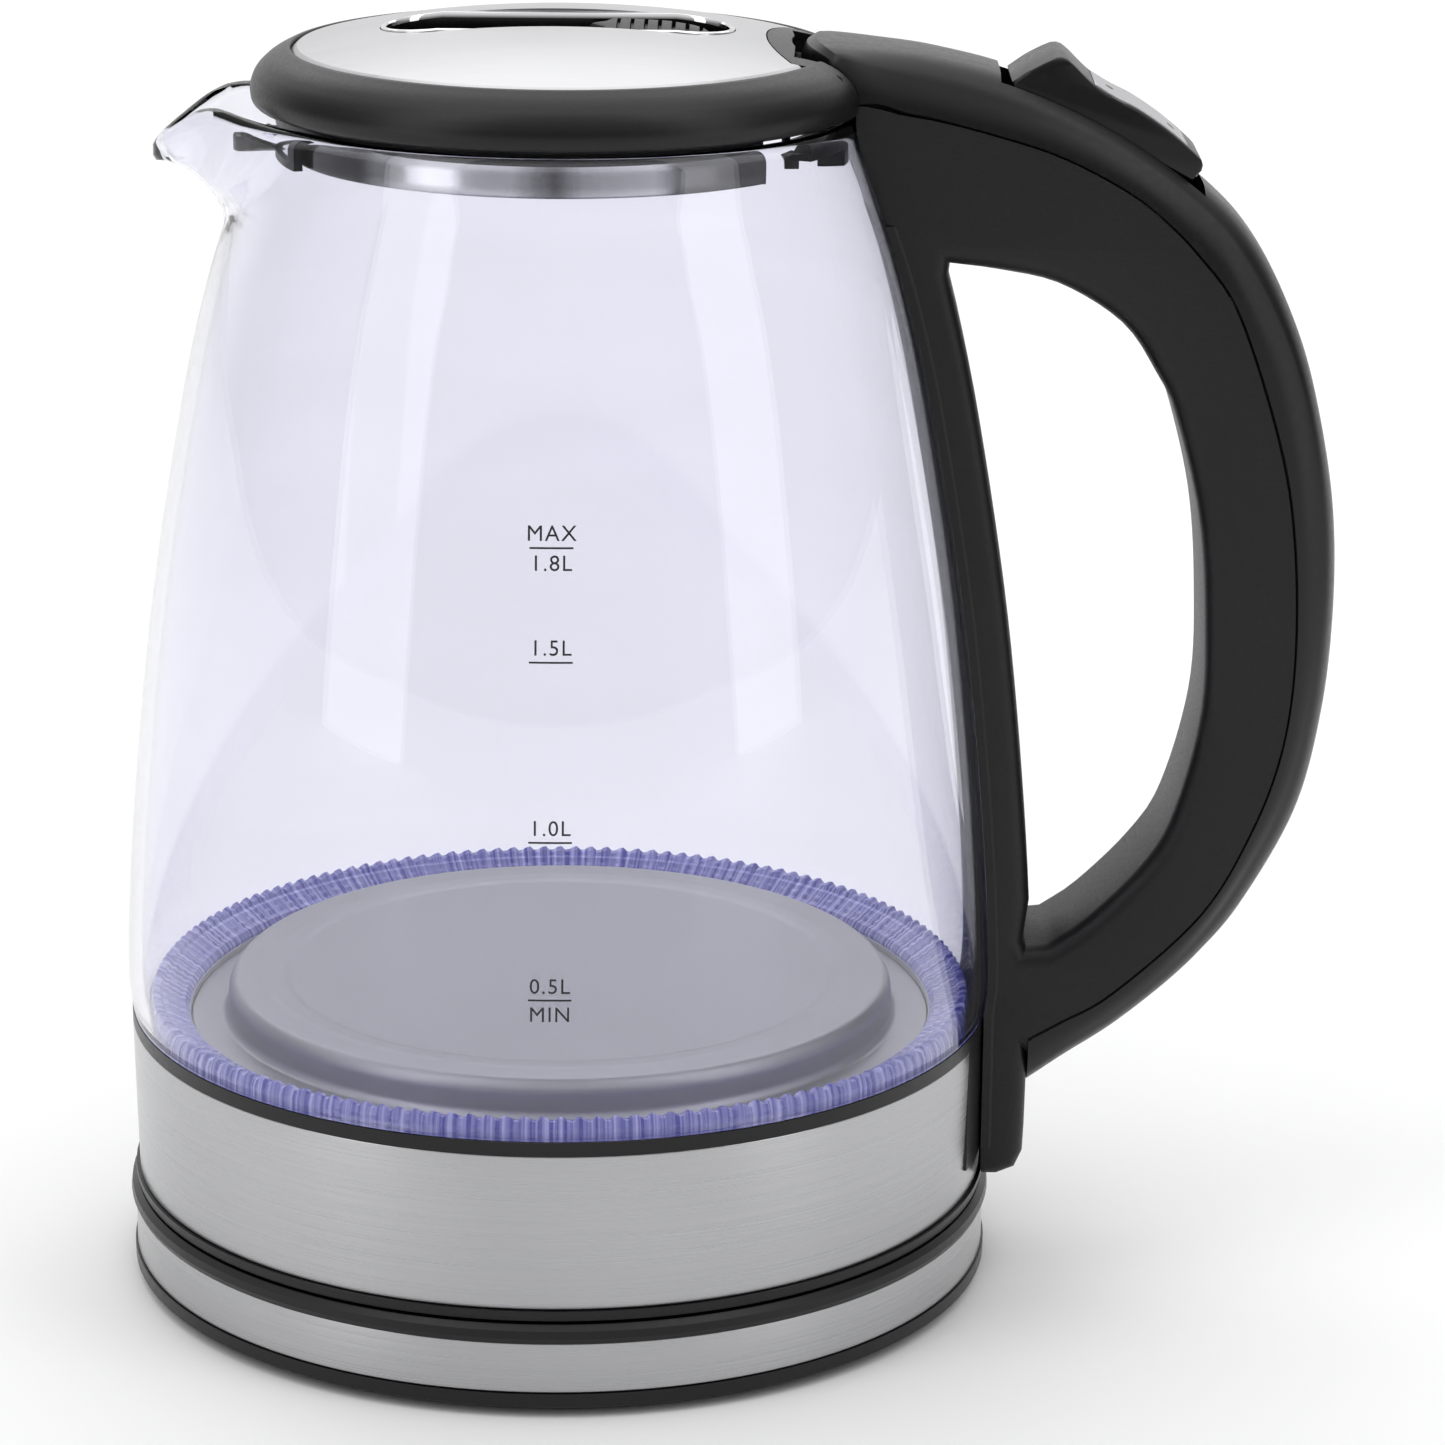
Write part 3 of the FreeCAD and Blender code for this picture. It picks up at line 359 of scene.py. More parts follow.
def polished(name, colour):
    s = Shader(name, Metallic=1.0)
    smear = s.noise((70, 70, 14), 3.0)
    s.colours(s.ramp(smear, 0.35, 0.65, 0, 1), tuple(c * 0.94 for c in colour), colour)
    s.link(s.ramp(smear, 0.3, 0.7, 0.06, 0.12), s.bsdf.inputs["Roughness"])
    return s.mat


def painted_reflection_steel(name):
    """Polished steel with painted reflections: soft light and dark streaks down it, set by the angle round
    the axis, stand in for the lamps and room mirrored in it.
    """
    s = Shader(name, Metallic=1.0)
    turn, reflection_wander = s.around(9.0, 1.5, 0.4)
    reflection_turn = s.node("ShaderNodeMath", operation="MULTIPLY_ADD")
    s.link(reflection_wander, reflection_turn.inputs[0])
    reflection_turn.inputs[1].default_value = 0.12
    s.link(turn, reflection_turn.inputs[2])
    ramp = s.node("ShaderNodeValToRGB")
    s.link(s.ramp(reflection_turn.outputs[0], -math.pi, math.pi, 0, 1), ramp.inputs["Fac"])
    reflection_stops = ramp.color_ramp.elements
    # painted reflection: the light stops are the softboxes mirrored in the skirt, the dark ones the room
    # between them
    levels = [(0.0, 0.10), (0.14, 0.08), (0.185, 0.62), (0.235, 0.60), (0.262, 0.16), (0.283, 0.58),
              (0.318, 0.66), (0.332, 0.12), (0.5, 0.07), (0.62, 0.5), (0.72, 0.09), (0.86, 0.55), (1.0, 0.10)]
    while len(reflection_stops) < len(levels):
        reflection_stops.new(0.5)
    for stop, (place, level) in zip(reflection_stops, levels):
        stop.position, stop.color = place, (level, level, level, 1)
    s.link(ramp.outputs["Color"], s.bsdf.inputs["Base Color"])
    smear = s.noise((70, 70, 14), 3.0)
    s.link(s.ramp(smear, 0.3, 0.7, 0.1, 0.18), s.bsdf.inputs["Roughness"])
    return s.mat


def lamps_pass(s, tint):
    """Lets lamps shine through glass onto what is behind it."""
    path = s.node("ShaderNodeLightPath")
    clear = s.node("ShaderNodeBsdfTransparent")
    clear.inputs["Color"].default_value = (*tint, 1)
    mix = s.node("ShaderNodeMixShader")
    s.link(path.outputs["Is Shadow Ray"], mix.inputs[0])
    s.link(s.bsdf.outputs["BSDF"], mix.inputs[1])
    s.link(clear.outputs["BSDF"], mix.inputs[2])
    s.link(mix.outputs["Shader"], s.output.inputs["Surface"])


def clear_glass(name, tint):
    s = Shader(name, IOR=1.47, Roughness=0.0)
    s.bsdf.inputs["Transmission Weight"].default_value = 1.0
    haze = s.noise((18, 18, 6), 2.0)
    s.colours(s.ramp(haze, 0.3, 0.7, 0, 1), tuple(c * 0.985 for c in tint), tint)
    lamps_pass(s, tint)
    return s.mat


def lit_ring(name):
    """Clear plastic with blue light in it, in fine ribs round the axis with painted highlights on the pale
    ones and painted shade on the deep blue ones.
    """
    s = Shader(name, IOR=1.49, Roughness=0.04)
    s.bsdf.inputs["Transmission Weight"].default_value = 0.3
    s.bsdf.inputs["Emission Strength"].default_value = 0.05
    s.bsdf.inputs["Emission Color"].default_value = (0.12, 0.12, 0.8, 1)
    rib_glints_and_shade = s.around(64.0, 2.0, 0.6)[1]
    # painted highlight and shade on the ribs: the pale ribs stand for glints, the deep blue ones for shade
    s.colours(s.ramp(rib_glints_and_shade, 0.42, 0.64, 0, 1), (0.04, 0.04, 0.34), (0.60, 0.60, 0.92))
    lamps_pass(s, (0.6, 0.6, 0.95))
    return s.mat


def plain_detail(name, colour, rough=(0.35, 0.5), metal=0.0, grain=700):
    """A plain colour with a fine grain in its shade, gloss and relief."""
    s = Shader(name, Metallic=metal)
    fine = s.noise((grain,) * 3, 2.0)
    s.colours(s.ramp(fine, 0.3, 0.7, 0, 1), tuple(c * 0.88 for c in colour), colour)
    s.link(s.ramp(fine, 0.3, 0.7, *rough), s.bsdf.inputs["Roughness"])
    s.bump(fine, 0.06, 0.0001)
    return s.mat


MATS = {
    "satin_black": black_plastic("satin_black", 900, 0.0025, 0.004, (0.30, 0.38), 0.05),
    "grained_black": black_plastic("grained_black", 1700, 0.003, 0.005, (0.40, 0.50), 0.22),
    "lid_black": black_plastic("lid_black", 1300, 0.003, 0.0045, (0.34, 0.42), 0.10),
    "gloss_black": black_plastic("gloss_black", 600, 0.002, 0.004, (0.14, 0.2), 0.02),
    "band_steel": brushed("band_steel", (10, 10, 5200), (0.42, 0.42, 0.43), (0.52, 0.52, 0.53),
                          tangent="Z", turn=0.25),
    "plate_steel": brushed("plate_steel", (40, 4200, 40), (0.44, 0.44, 0.45), (0.54, 0.54, 0.55),
                           (0.3, 0.4), aniso=0.3),
    "heater_steel": brushed("heater_steel", (900, 900, 900), (0.34, 0.34, 0.355),
                            (0.38, 0.38, 0.395), (0.42, 0.5), aniso=0.0),
    "polished_steel": polished("polished_steel", (0.78, 0.78, 0.79)),
    # the skirt's light and dark streaks are painted reflections
    "skirt_painted_reflection": painted_reflection_steel("skirt_painted_reflection"),
    "glass": clear_glass("glass", (0.885, 0.885, 0.945)),
    "lit_ring": lit_ring("lit_ring"),
    "rubber": plain_detail("rubber", (0.016, 0.016, 0.016), (0.6, 0.75)),
    "silicone": plain_detail("silicone", (0.6, 0.6, 0.63), (0.4, 0.5)),
    "brass": plain_detail("brass", (0.78, 0.6, 0.28), (0.2, 0.3), 1.0),
    "aluminium": plain_detail("aluminium", (0.7, 0.7, 0.71), (0.35, 0.45), 1.0),
    "dark_metal": plain_detail("dark_metal", (0.3, 0.3, 0.31), (0.3, 0.42), 1.0),
    "board": plain_detail("board", (0.75, 0.76, 0.72), (0.4, 0.5)),
    "silver_plastic": plain_detail("silver_plastic", (0.42, 0.42, 0.44), (0.22, 0.3), 1.0, 1200),
    "control_plastic": plain_detail("control_plastic", (0.72, 0.7, 0.64)),
    "lead_plastic": plain_detail("lead_plastic", (0.42, 0.06, 0.04), (0.3, 0.4)),
    "ink": plain_detail("ink", (0.01, 0.01, 0.012), (0.4, 0.5)),
}
SLOT_MATS = {
    "black_plastic": "satin_black", "steel_band": "band_steel", "polished_steel": "polished_steel",
    "satin_steel": "heater_steel", "glass": "glass", "light_clear": "lit_ring", "rubber": "rubber",
    "silicone": "silicone", "brass": "brass", "aluminium": "aluminium", "dark_metal": "dark_metal",
    "board": "board", "silver_plastic": "silver_plastic", "control_plastic": "control_plastic",
    "lead_plastic": "lead_plastic",
}


def dress_cad_nodes():
    """Every CAD node gets the material of its slot."""
    slots = {s["node"]: s["material_slot"] for s in frame["record"]["subparts"]}
    for name, obj in frame["nodes"].items():
        obj.data.materials.clear()
        obj.data.materials.append(MATS[SLOT_MATS[slots[name]]])


def piece(obj, material, body, replaces=()):
    """Gives a piece its material, its body, and the CAD nodes that it stands for."""
    obj.data.materials.clear()
    obj.data.materials.append(MATS[material])
    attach(obj, body)
    if replaces:
        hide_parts(*replaces)


# ---- stage ---------------------------------------------------------------------------------------
def camera():
    data = bpy.data.cameras.new("camera")
    data.sensor_width, data.lens = 36.0, 125.65
    data.clip_start, data.clip_end = 0.05, 20.0
    cam = bpy.data.objects.new("camera", data)
    bpy.context.scene.collection.objects.link(cam)
    tilt = Matrix.Rotation(math.radians(90 - 16.51), 4, "X")
    roll = Matrix.Rotation(math.radians(0.558), 4, "Z")
    cam.matrix_world = Matrix.Translation(Vector((29.95, -894.5, 369.1)) * MM) @ tilt @ roll
    bpy.context.scene.camera = cam


def lamp(name, place, size, power, aim=(0.02, 0, 0.12)):
    data = bpy.data.lights.new(name, "AREA")
    data.shape, data.size, data.size_y, data.energy = "RECTANGLE", size[0], size[1], power
    obj = bpy.data.objects.new(name, data)
    obj.location = place
    obj.rotation_mode = "QUATERNION"
    obj.rotation_quaternion = (Vector(aim) - Vector(place)).to_track_quat("-Z", "Y")
    bpy.context.scene.collection.objects.link(obj)


def world():
    """Soft light from overhead and from behind, and little from the horizon in front."""
    made_world = bpy.data.worlds.new("studio")
    made_world.use_nodes = True
    tree = made_world.node_tree
    back = tree.nodes["Background"]
    coords = tree.nodes.new("ShaderNodeTexCoord")
    split = tree.nodes.new("ShaderNodeSeparateXYZ")
    tree.links.new(coords.outputs["Generated"], split.inputs["Vector"])

    def span(value, a, b, to_a, to_b):
        made = tree.nodes.new("ShaderNodeMapRange")
        made.interpolation_type = "SMOOTHSTEP"
        for key, number in zip(RANGE, (a, b, to_a, to_b)):
            made.inputs[key].default_value = number
        tree.links.new(value, made.inputs["Value"])
        return made.outputs["Result"]

    peak = tree.nodes.new("ShaderNodeMath")
    peak.operation = "MAXIMUM"
    tree.links.new(span(split.outputs["Z"], 0.15, 0.8, 0.16, 0.85), peak.inputs[0])
    tree.links.new(span(split.outputs["Y"], 0.35, 0.75, 0.16, 0.9), peak.inputs[1])
    tree.links.new(peak.outputs[0], back.inputs["Strength"])
    back.inputs["Color"].default_value = (1, 1, 1, 1)
    bpy.context.scene.world = made_world
    bpy.context.scene.view_settings.view_transform = "Standard"


def studio():
    world()
    lamp("left_softbox", (-0.95, -0.75, 0.6), (0.6, 2.4), 6.5)
    lamp("right_softbox", (1.0, -0.6, 0.65), (0.5, 2.2), 4.5)
    lamp("top_softbox", (0.0, 0.25, 1.5), (1.6, 1.4), 7)
    lamp("back_softbox", (0.0, 2.0, 1.6), (3.2, 1.6), 17, aim=(0, 1.9, 0))
    floor()


def floor():
    s = Shader("floor", Roughness=0.9)
    speck = s.noise((6, 6, 6), 2.0)
    s.colours(s.ramp(speck, 0.3, 0.7, 0, 1), (0.86, 0.86, 0.86), (0.9, 0.9, 0.9))
    size = 4000
    corners = [(-size, -size, 0), (size, -size, 0), (size, size, 0), (-size, size, 0)]
    obj = mesh_object("floor", corners, [(0, 1, 2, 3)])
    obj.data.materials.append(s.mat)


# ---- power base and the jug's foot ---------------------------------------------------------------
def band_profile(r_low, r_high, z0, z1):
    """A thin ring's section, with its two outer corners rounded."""
    corner = 0.35
    return rounded([(r_low - BAND_T, z0, 0), (r_low, z0, corner),
                    (r_high, z1, corner), (r_high - BAND_T, z1, 0)])


def power_base():
    """The base's steel band, with the hole for the cord's gland at the back."""
    band = lathe("base_band", band_profile(BASE_R, BASE_R, BASE_LOW[2], BASE_HIGH[2]))
    gland_z, gland_r = 9.2, 4.4
    hole = prism("gland_hole", circle(0, gland_z, gland_r), BASE_R - 12, BASE_R + 5, axis="Y")
    piece(cut(band, [hole]), "band_steel", "power_base", ["base_steel_band"])


def jug_foot():
    """The jug's steel band, slightly wider at the top, with the window for the handle's foot."""
    z0, z1 = BAND_LOW[2], BAND_HIGH[2]
    band = lathe("jug_band", band_profile(JUG_R - 0.7, JUG_R, z0, z1))
    half, low, corner = 25.2, 25.3, 2
    window = [(-half, low + corner)] + arc(corner - half, low + corner, corner, 180, 270, 6)
    window += arc(half - corner, low + corner, corner, 270, 360, 6) + [(half, z1 + 3), (-half, z1 + 3)]
    tool = prism("window", window, 60, 90, axis="X")
    piece(cut(band, [tool]), "band_steel", "jug", ["jug_steel_band"])


# ---- glass ---------------------------------------------------------------------------------------
GLASS_SHAPE = [(0.0, 0.0), (0.06, -0.027), (0.235, 0.043), (0.463, 0.202), (0.686, 0.442),
               (0.817, 0.636), (0.905, 0.822), (0.96, 0.95), (1.0, 1.0)]


def glass_profile():
    """The outside of the glass as (r, z) points, from its foot to its mouth."""
    first = JUG_R - 0.1
    points = [(first + share * (MOUTH_R - first), GLASS_Z + up * (GLASS_TOP - GLASS_Z))
              for up, share in GLASS_SHAPE]
    return smooth(points, 70)


GLASS_OUTSIDE = glass_profile()


def glass_r(z):
    """The outside radius of the glass at a height."""
    for (ra, za), (rb, zb) in zip(GLASS_OUTSIDE, GLASS_OUTSIDE[1:]):
        if za <= z <= zb:
            return ra + (rb - ra) * (z - za) / (zb - za)
    return GLASS_OUTSIDE[0][0] if z < GLASS_Z else GLASS_OUTSIDE[-1][0]


def eased(value, low, high):
    """0 up to low, 1 from high on, and a smooth rise between them."""
    t = max(0.0, min(1.0, (value - low) / (high - low)))
    return t * t * (3 - 2 * t)


def spout_share(z):
    """How far the spout reaches out at a height, from 0 on the body to 1 at its lip."""
    return eased(z, GLASS_TOP - 22.0, GLASS_TOP - 3.0)


def drop_radius(angle, body_r, reach, lip_r):
    """The radius of a drop shape: a circle about the axis, a small circle at the lip and their tangents."""
    centre = reach - lip_r
    if centre <= body_r - lip_r + 1e-6:
        return body_r
    lean = math.acos(max(-1.0, min(1.0, (body_r - lip_r) / centre)))
    if angle >= lean:
        return body_r
    touch = math.atan2(lip_r * math.sin(lean), centre + lip_r * math.cos(lean))
    if angle > touch:
        return body_r / math.cos(angle - lean)
    return centre * math.cos(angle) + math.sqrt(max(lip_r ** 2 - (centre * math.sin(angle)) ** 2, 0.0))


def spout_rim_drop(radius):
    """The rim rises a little beside the lid, then falls towards the lip of the spout."""
    out = max(0.0, radius - 63.5) / 9.5
    beside = eased(-abs(radius - 61.5), -5.5, 0)
    return 1.4 * beside - 7.0 * out ** 1.3


def glass_point(angle, r, z, inset):
    """A point of the glass wall. angle is measured from the spout."""
    share = spout_share(z)
    radius = r - inset
    if share > 0:
        reach = r + share * (-SPOUT_TIP_X - r)
        off = abs((angle + math.pi) % (2 * math.pi) - math.pi)
        radius = drop_radius(off, radius, reach - inset, max(SPOUT_LIP_R - inset, 2.0))
    lift = spout_rim_drop(radius) * eased(z, GLASS_TOP - 15.0, GLASS_TOP)
    a = math.pi + angle
    return (radius * math.cos(a), radius * math.sin(a), z + lift)


def glass():
    """The jug's glass, with columns of points that stand closer together at the spout."""
    columns, crowding = 320, 0.55
    rows = []
    for k in range(columns):
        even = 2 * math.pi * k / columns
        a = even - crowding * math.sin(even)
        outer = [glass_point(a, r, z, 0) for r, z in GLASS_OUTSIDE]
        inner = [glass_point(a, r, z, WALL) for r, z in reversed(GLASS_OUTSIDE)]
        top_out, top_in = Vector(outer[-1]), Vector(inner[0])
        crest = [tuple(top_out.lerp(top_in, t) + Vector((0, 0, h)))
                 for t, h in ((0.2, 0.45), (0.5, 0.65), (0.8, 0.45))]
        rows.append(outer + crest + inner)
    obj = tidy(grid("jug_glass", rows, sharp=60))
    piece(obj, "glass", "jug", ["glass_body"])


def wrapped(obj):
    """A flat mark, standing across the jug's front, laid on the glass."""
    for v in obj.data.vertices:
        x, z = v.co.x / MM, v.co.z / MM
        r = glass_r(z) + (0.06 if v.co.y < 0 else 0.01)
        v.co = Vector((x * MM, -math.sqrt(r * r - x * x) * MM, z * MM))
    return obj


def mark_line(x, z, width):
    """A thin bar in eight stretches, so that it can follow the glass."""
    steps, half = 8, 0.16
    front = [(x - width / 2 + width * k / steps, -1, z + s * half) for s in (-1, 1) for k in range(steps + 1)]
    back = [(across, -y, up) for across, y, up in front]
    n = steps + 1
    faces = []
    for k in range(steps):
        faces.append((k, k + 1, n + k + 1, n + k))
        faces.append((2 * n + k + 1, 2 * n + k, 3 * n + k, 3 * n + k + 1))
        faces.append((k + 1, k, 2 * n + k, 2 * n + k + 1))
        faces.append((n + k, n + k + 1, 3 * n + k + 1, 3 * n + k))
    faces += [(0, n, 3 * n, 2 * n), (n - 1, 3 * n - 1, 4 * n - 1, 2 * n - 1)]
    return wrapped(mesh_object("mark_line", front + back, faces))


def mark_words(text, x, z):
    data = bpy.data.curves.new("figures", "FONT")
    data.body, data.size, data.align_x = text, 3.75 * MM, "CENTER"
    data.extrude, data.space_character = 0.2 * MM, 1.12
    data.resolution_u = 4
    obj = bpy.data.objects.new("mark_" + text.replace(".", "_"), data)
    bpy.context.scene.collection.objects.link(obj)
    bpy.context.view_layer.update()
    made = applied(obj)
    upright = Matrix.Rotation(math.radians(90), 4, "X")
    made.data.transform(Matrix.Translation(Vector((x, 0, z)) * MM) @ upright)
    return wrapped(made)


def level_marks():
    """Black scale lines and figures printed on the front of the glass."""
    x, width = 0.8, 7.45
    levels = {"1.8L": 155.2, "1.5L": 136.0, "1.0L": 105.2, "0.5L": 77.6}
    marks = [mark_line(x, z, width) for z in levels.values()]
    over, under = 1.2, -3.8
    marks.append(mark_words("MAX", x, levels["1.8L"] + over))
    for text, z in levels.items():
        marks.append(mark_words(text, x, z + (under if text == "1.8L" else over)))
    marks.append(mark_words("MIN", x, levels["0.5L"] + under))
    for obj in marks:
        piece(obj, "ink", "jug")


# ---- heater plate and light ring -----------------------------------------------------------------
def heater():
    """The pressed plate: a raised disc with a groove, its wall, and the flange round it."""
    low, z, r = PLATE_LOW[2], PLATE_HIGH[2], 62.0
    outline = [(0.01, z - 0.5, 0), (r - 11.5, z - 0.5, 1.5), (r - 10.2, z - 0.15, 0.8), (r - 7.4, z, 0.8),
               (r - 6.2, z - 0.12, 0.6), (r - 1.2, z - 0.2, 1.2), (r, z - 2.0, 1.0), (r, low + 1.9, 0.9),
               (r + 0.9, low + 0.8, 0.6), (r + 6.9, low + 0.8, 0.2), (r + 6.9, low, 0), (r, low, 0),
               (r - 0.8, low + 0.8, 0), (r - 0.8, z - 2.4, 0), (r - 2, z - 1.1, 0), (0.01, z - 1.3, 0)]
    obj = lathe("heater_plate_finished", rounded(outline, 5), 192, sharp=25)
    piece(obj, "heater_steel", "jug", ["heater_plate"])


def light_ring():
    """A clear ring with small prisms round its outer edge and fine steps on its slope."""
    r0, r1 = 69.4, 76.8
    z0, z1 = LIGHT_LOW[2], LIGHT_HIGH[2]
    prisms, prism_shape, step_shape = 150, (0.0, 1.0, 0.75, 0.1), (1.0, 0.2, 0.0, 0.8)
    count = prisms * len(prism_shape)
    rows = []
    for k in range(count):
        a = 2 * math.pi * k / count
        up, up2 = prism_shape[k % 4], step_shape[k % 4]
        section = [(r0, z0), (r0, z1 - 4.6), (r0 + 0.8, z1 - 3.6), (r0 + 1.9, z1 - 3.4 + 0.25 * up2),
                   (r0 + 2.5, z1 - 2.7), (r0 + 3.4, z1 - 2.5 + 0.35 * up2), (r0 + 4.1, z1 - 1.7),
                   (r0 + 4.9, z1 - 1.5), (r0 + 5.4, z1 - 1.0 + 0.5 * up), (r0 + 6.4, z1 - 0.8 + 0.8 * up),
                   (r1 - 0.5, z1 - 0.9 + 0.7 * up), (r1, z1 - 2.0), (r1, z0)]
        rows.append([(r * math.cos(a), r * math.sin(a), z) for r, z in section])
    obj = tidy(grid("light_ring_prisms", rows, sharp=18))
    piece(obj, "lit_ring", "jug", ["light_ring"])


# ---- handle --------------------------------------------------------------------------------------
# side views as (x, z) points: the back of the handle, the edge where its flanks meet the back, the seam
# between its two halves, and the grip's inner edge
CREST = [(42.6, 227.0), (43.6, 230.2), (46.1, 231.5), (56.8, 230.7), (67.5, 229.2), (81.8, 225.4),
         (100.0, 216.8), (115.7, 205.8), (125.2, 195.3), (132.5, 180.7), (137.0, 166.0), (140.4, 147.5),
         (141.2, 128.6), (139.9, 109.4), (135.7, 90.2), (126.3, 71.8), (118.6, 61.9), (112.5, 55.9),
         (102.9, 47.8), (93.9, 41.7), (87.4, 37.0)]
CREASE = [(45.6, 225.2), (46.0, 228.4), (48.3, 229.5), (56.5, 227.6), (67.1, 225.2), (77.7, 222.4),
          (88.4, 218.7), (99.1, 213.5), (110.0, 206.4), (121.0, 196.2), (130.6, 178.8), (136.2, 159.7),
          (138.7, 139.3), (138.4, 122.4), (135.9, 103.4), (131.8, 90.0), (123.0, 73.6), (113.4, 61.0),
          (104.0, 52.4), (94.5, 45.6), (87.3, 40.4)]
SEAM = [(47.6, 221.3), (54.4, 221.4), (60.1, 220.0), (67.1, 218.8), (77.7, 216.1), (88.4, 212.7),
        (99.1, 207.4), (106.3, 202.3), (113.7, 195.0), (121.2, 184.3), (129.4, 160.3), (132.7, 141.9),
        (133.6, 120.5), (131.9, 103.7), (127.0, 88.3), (118.3, 72.2), (102.4, 56.7), (93.0, 51.0),
        (87.2, 47.6)]
GAP = [(69.6, 193.0), (78.5, 191.9), (89.4, 189.4), (100.7, 182.4), (107.1, 173.2), (110.6, 165.8),
       (115.4, 147.3), (117.2, 128.3), (117.0, 109.2), (112.3, 89.8), (106.5, 80.0), (96.9, 70.0),
       (90.2, 65.2)]


def moved_out(points, distance):
    """A curve shifted sideways."""
    out = []
    for i, (x, z) in enumerate(points):
        (xa, za), (xb, zb) = points[max(i - 1, 0)], points[min(i + 1, len(points) - 1)]
        length = math.hypot(xb - xa, zb - za)
        out.append((x - (zb - za) / length * distance, z + (xb - xa) / length * distance))
    return out


def handle_cover():
    """The outer half of the handle: flanks from the seam to the crease, then a rounded back."""
    count = 150
    crest, crease, seam = (smooth(c, count) for c in (CREST, CREASE, SEAM))
    w_crease, w_seam = 12.0, HALF_W + 0.25
    wall = 2.3
    rows = []
    for i in range(count):
        (xs, zs), (xc, zc), (xt, zt) = seam[i], crease[i], crest[i]
        outer = [(xs, -(w_seam - 0.55), zs)]
        for s in (0.06, 0.25, 0.5, 0.75, 0.96):
            x, z = xs + (xc - xs) * s, zs + (zc - zs) * s
            outer.append((x, -(w_crease + 0.25 + (w_seam - w_crease - 0.25) * math.cos(s * math.pi / 2)), z))
        for s in (1.0, 0.93, 0.8, 0.6, 0.4, 0.2, 0.0):
            f = 0.12 + 0.88 * (1 - s ** 4.5)
            outer.append((xc + (xt - xc) * f, -w_crease * s, zc + (zt - zc) * f))
        outer += [(x, -y, z) for x, y, z in reversed(outer[:-1])]
        middle = Vector((xs, 0, zs))
        inner = []
        for p in outer[1:-1]:
            away = middle - Vector(p)
            inner.append(tuple(Vector(p) + away * min(0.85, wall / max(away.length, 1e-6))))
        near = max(0.0, 1 - i / 16.0)       # the nose's front is rounded in plan
        rows.append([(x + 4.4 * near ** 2 * (y / 15.0) ** 2, y, z) for x, y, z in outer + inner[::-1]])
    obj = tidy(grid("handle_crown", rows, closed=False, sharp=28))
    low, high = ROCKER_LOW, ROCKER_HIGH
    half = (high[1] - low[1]) / 2 + 0.35
    front = low[0] - 2.0
    window = [(front, 190), (high[0] + 0.6, 190), (high[0] + 0.6, 240), (front, 240)]
    return cut(obj, [prism("window", window, -half, half, axis="Y")], sharp=28)


def shell_outline():
    outer = moved_out(smooth(SEAM, 60), 6.0)
    foot = [(87.2, 44.0), (87.0, 30.0), (86.8, 24.6), (85.4, 21.4), (82.0, 20.0), (76.5, 20.0)]
    back = [(76.5, 40), (76.5, 52)] + [(glass_r(z) - 3.2, z) for z in range(56, 214, 6)]
    return outer + foot + back + [(50.0, 214), (49.5, 222.0)]


def finger_hole():
    strap = [(glass_r(z) + 6.9, z) for z in range(188, 68, -6)]
    return strap[::-1] + [(69.4, 191.2)] + smooth(GAP, 60) + [(86.5, 64.8), (85.9, 66.6)]


def shell_cuts():
    """What is taken from the slab: the outer cover, the jug, and room for the switch and the leads."""
    cover = moved_out(smooth(SEAM, 80), -0.12)
    cover += [(87.2, 34.0), (150.0, 34.0), (150.0, 240.0), (44.0, 240.0), (44.0, 221.5)]
    gap = 0.35
    jug = [(0.01, 10), (JUG_R + gap, 10), (JUG_R + gap, GLASS_Z)] + [(r + gap, z) for r, z in GLASS_OUTSIDE]
    jug += [(MOUTH_R + gap, 222.0), (0.01, 222.0)]
    switch_room = [(84, 193.5), (109.5, 193.5), (109.5, 230), (84, 230)]
    lead_room = [(48, 60), (78, 60), (78, 205), (48, 205)]
    return [prism("cover_side", cover, -30, 30, axis="Y"), lathe("jug_space", jug),
            prism("switch_room", switch_room, -11, 11, axis="Y"),
            prism("lead_room", lead_room, -2.4, 2.4, axis="Y")]


def handle_shell():
    """The inner half of the handle: a slab with rounded edges, open for the fingers."""
    data = bpy.data.curves.new("shell", "CURVE")
    data.dimensions, data.fill_mode = "2D", "BOTH"
    bevel = 3.4
    data.bevel_depth, data.bevel_resolution = bevel * MM, 4
    data.extrude, data.offset = (HALF_W - bevel) * MM, -bevel * MM
    for loop in (shell_outline(), finger_hole()):
        spline = data.splines.new("POLY")
        spline.points.add(len(loop) - 1)
        for point, (x, z) in zip(spline.points, loop):
            point.co = (x * MM, z * MM, 0, 1)
        spline.use_cyclic_u = True
    obj = bpy.data.objects.new("handle_inner", data)
    bpy.context.scene.collection.objects.link(obj)
    bpy.context.view_layer.update()
    obj = applied(obj)
    obj.data.transform(Matrix.Rotation(math.radians(90), 4, "X"))
    return cut(tidy(obj), shell_cuts(), sharp=30)


def strap_flange():
    """The thin flange that lies along the glass on both sides of the strap."""
    half = HALF_W + 0.3
    side = [(0.0, half), (1.4, half), (2.1, half - 0.5), (2.3, half - 1.4)]
    section = side + [(depth, -y) for depth, y in reversed(side)]
    rows = []
    for z in [26 + 2.9 * k for k in range(61)]:
        r = (glass_r(z) if z > GLASS_Z else JUG_R) + 0.35
        rows.append([(math.sqrt((r + depth) ** 2 - y * y), y, z) for depth, y in section])
    return tidy(grid("strap_flange", rows, closed=False, sharp=28))


def handle():
    piece(handle_cover(), "satin_black", "jug", ["handle_outer_cover"])
    piece(handle_shell(), "grained_black", "jug", ["handle_inner_shell"])
    piece(strap_flange(), "grained_black", "jug", [])


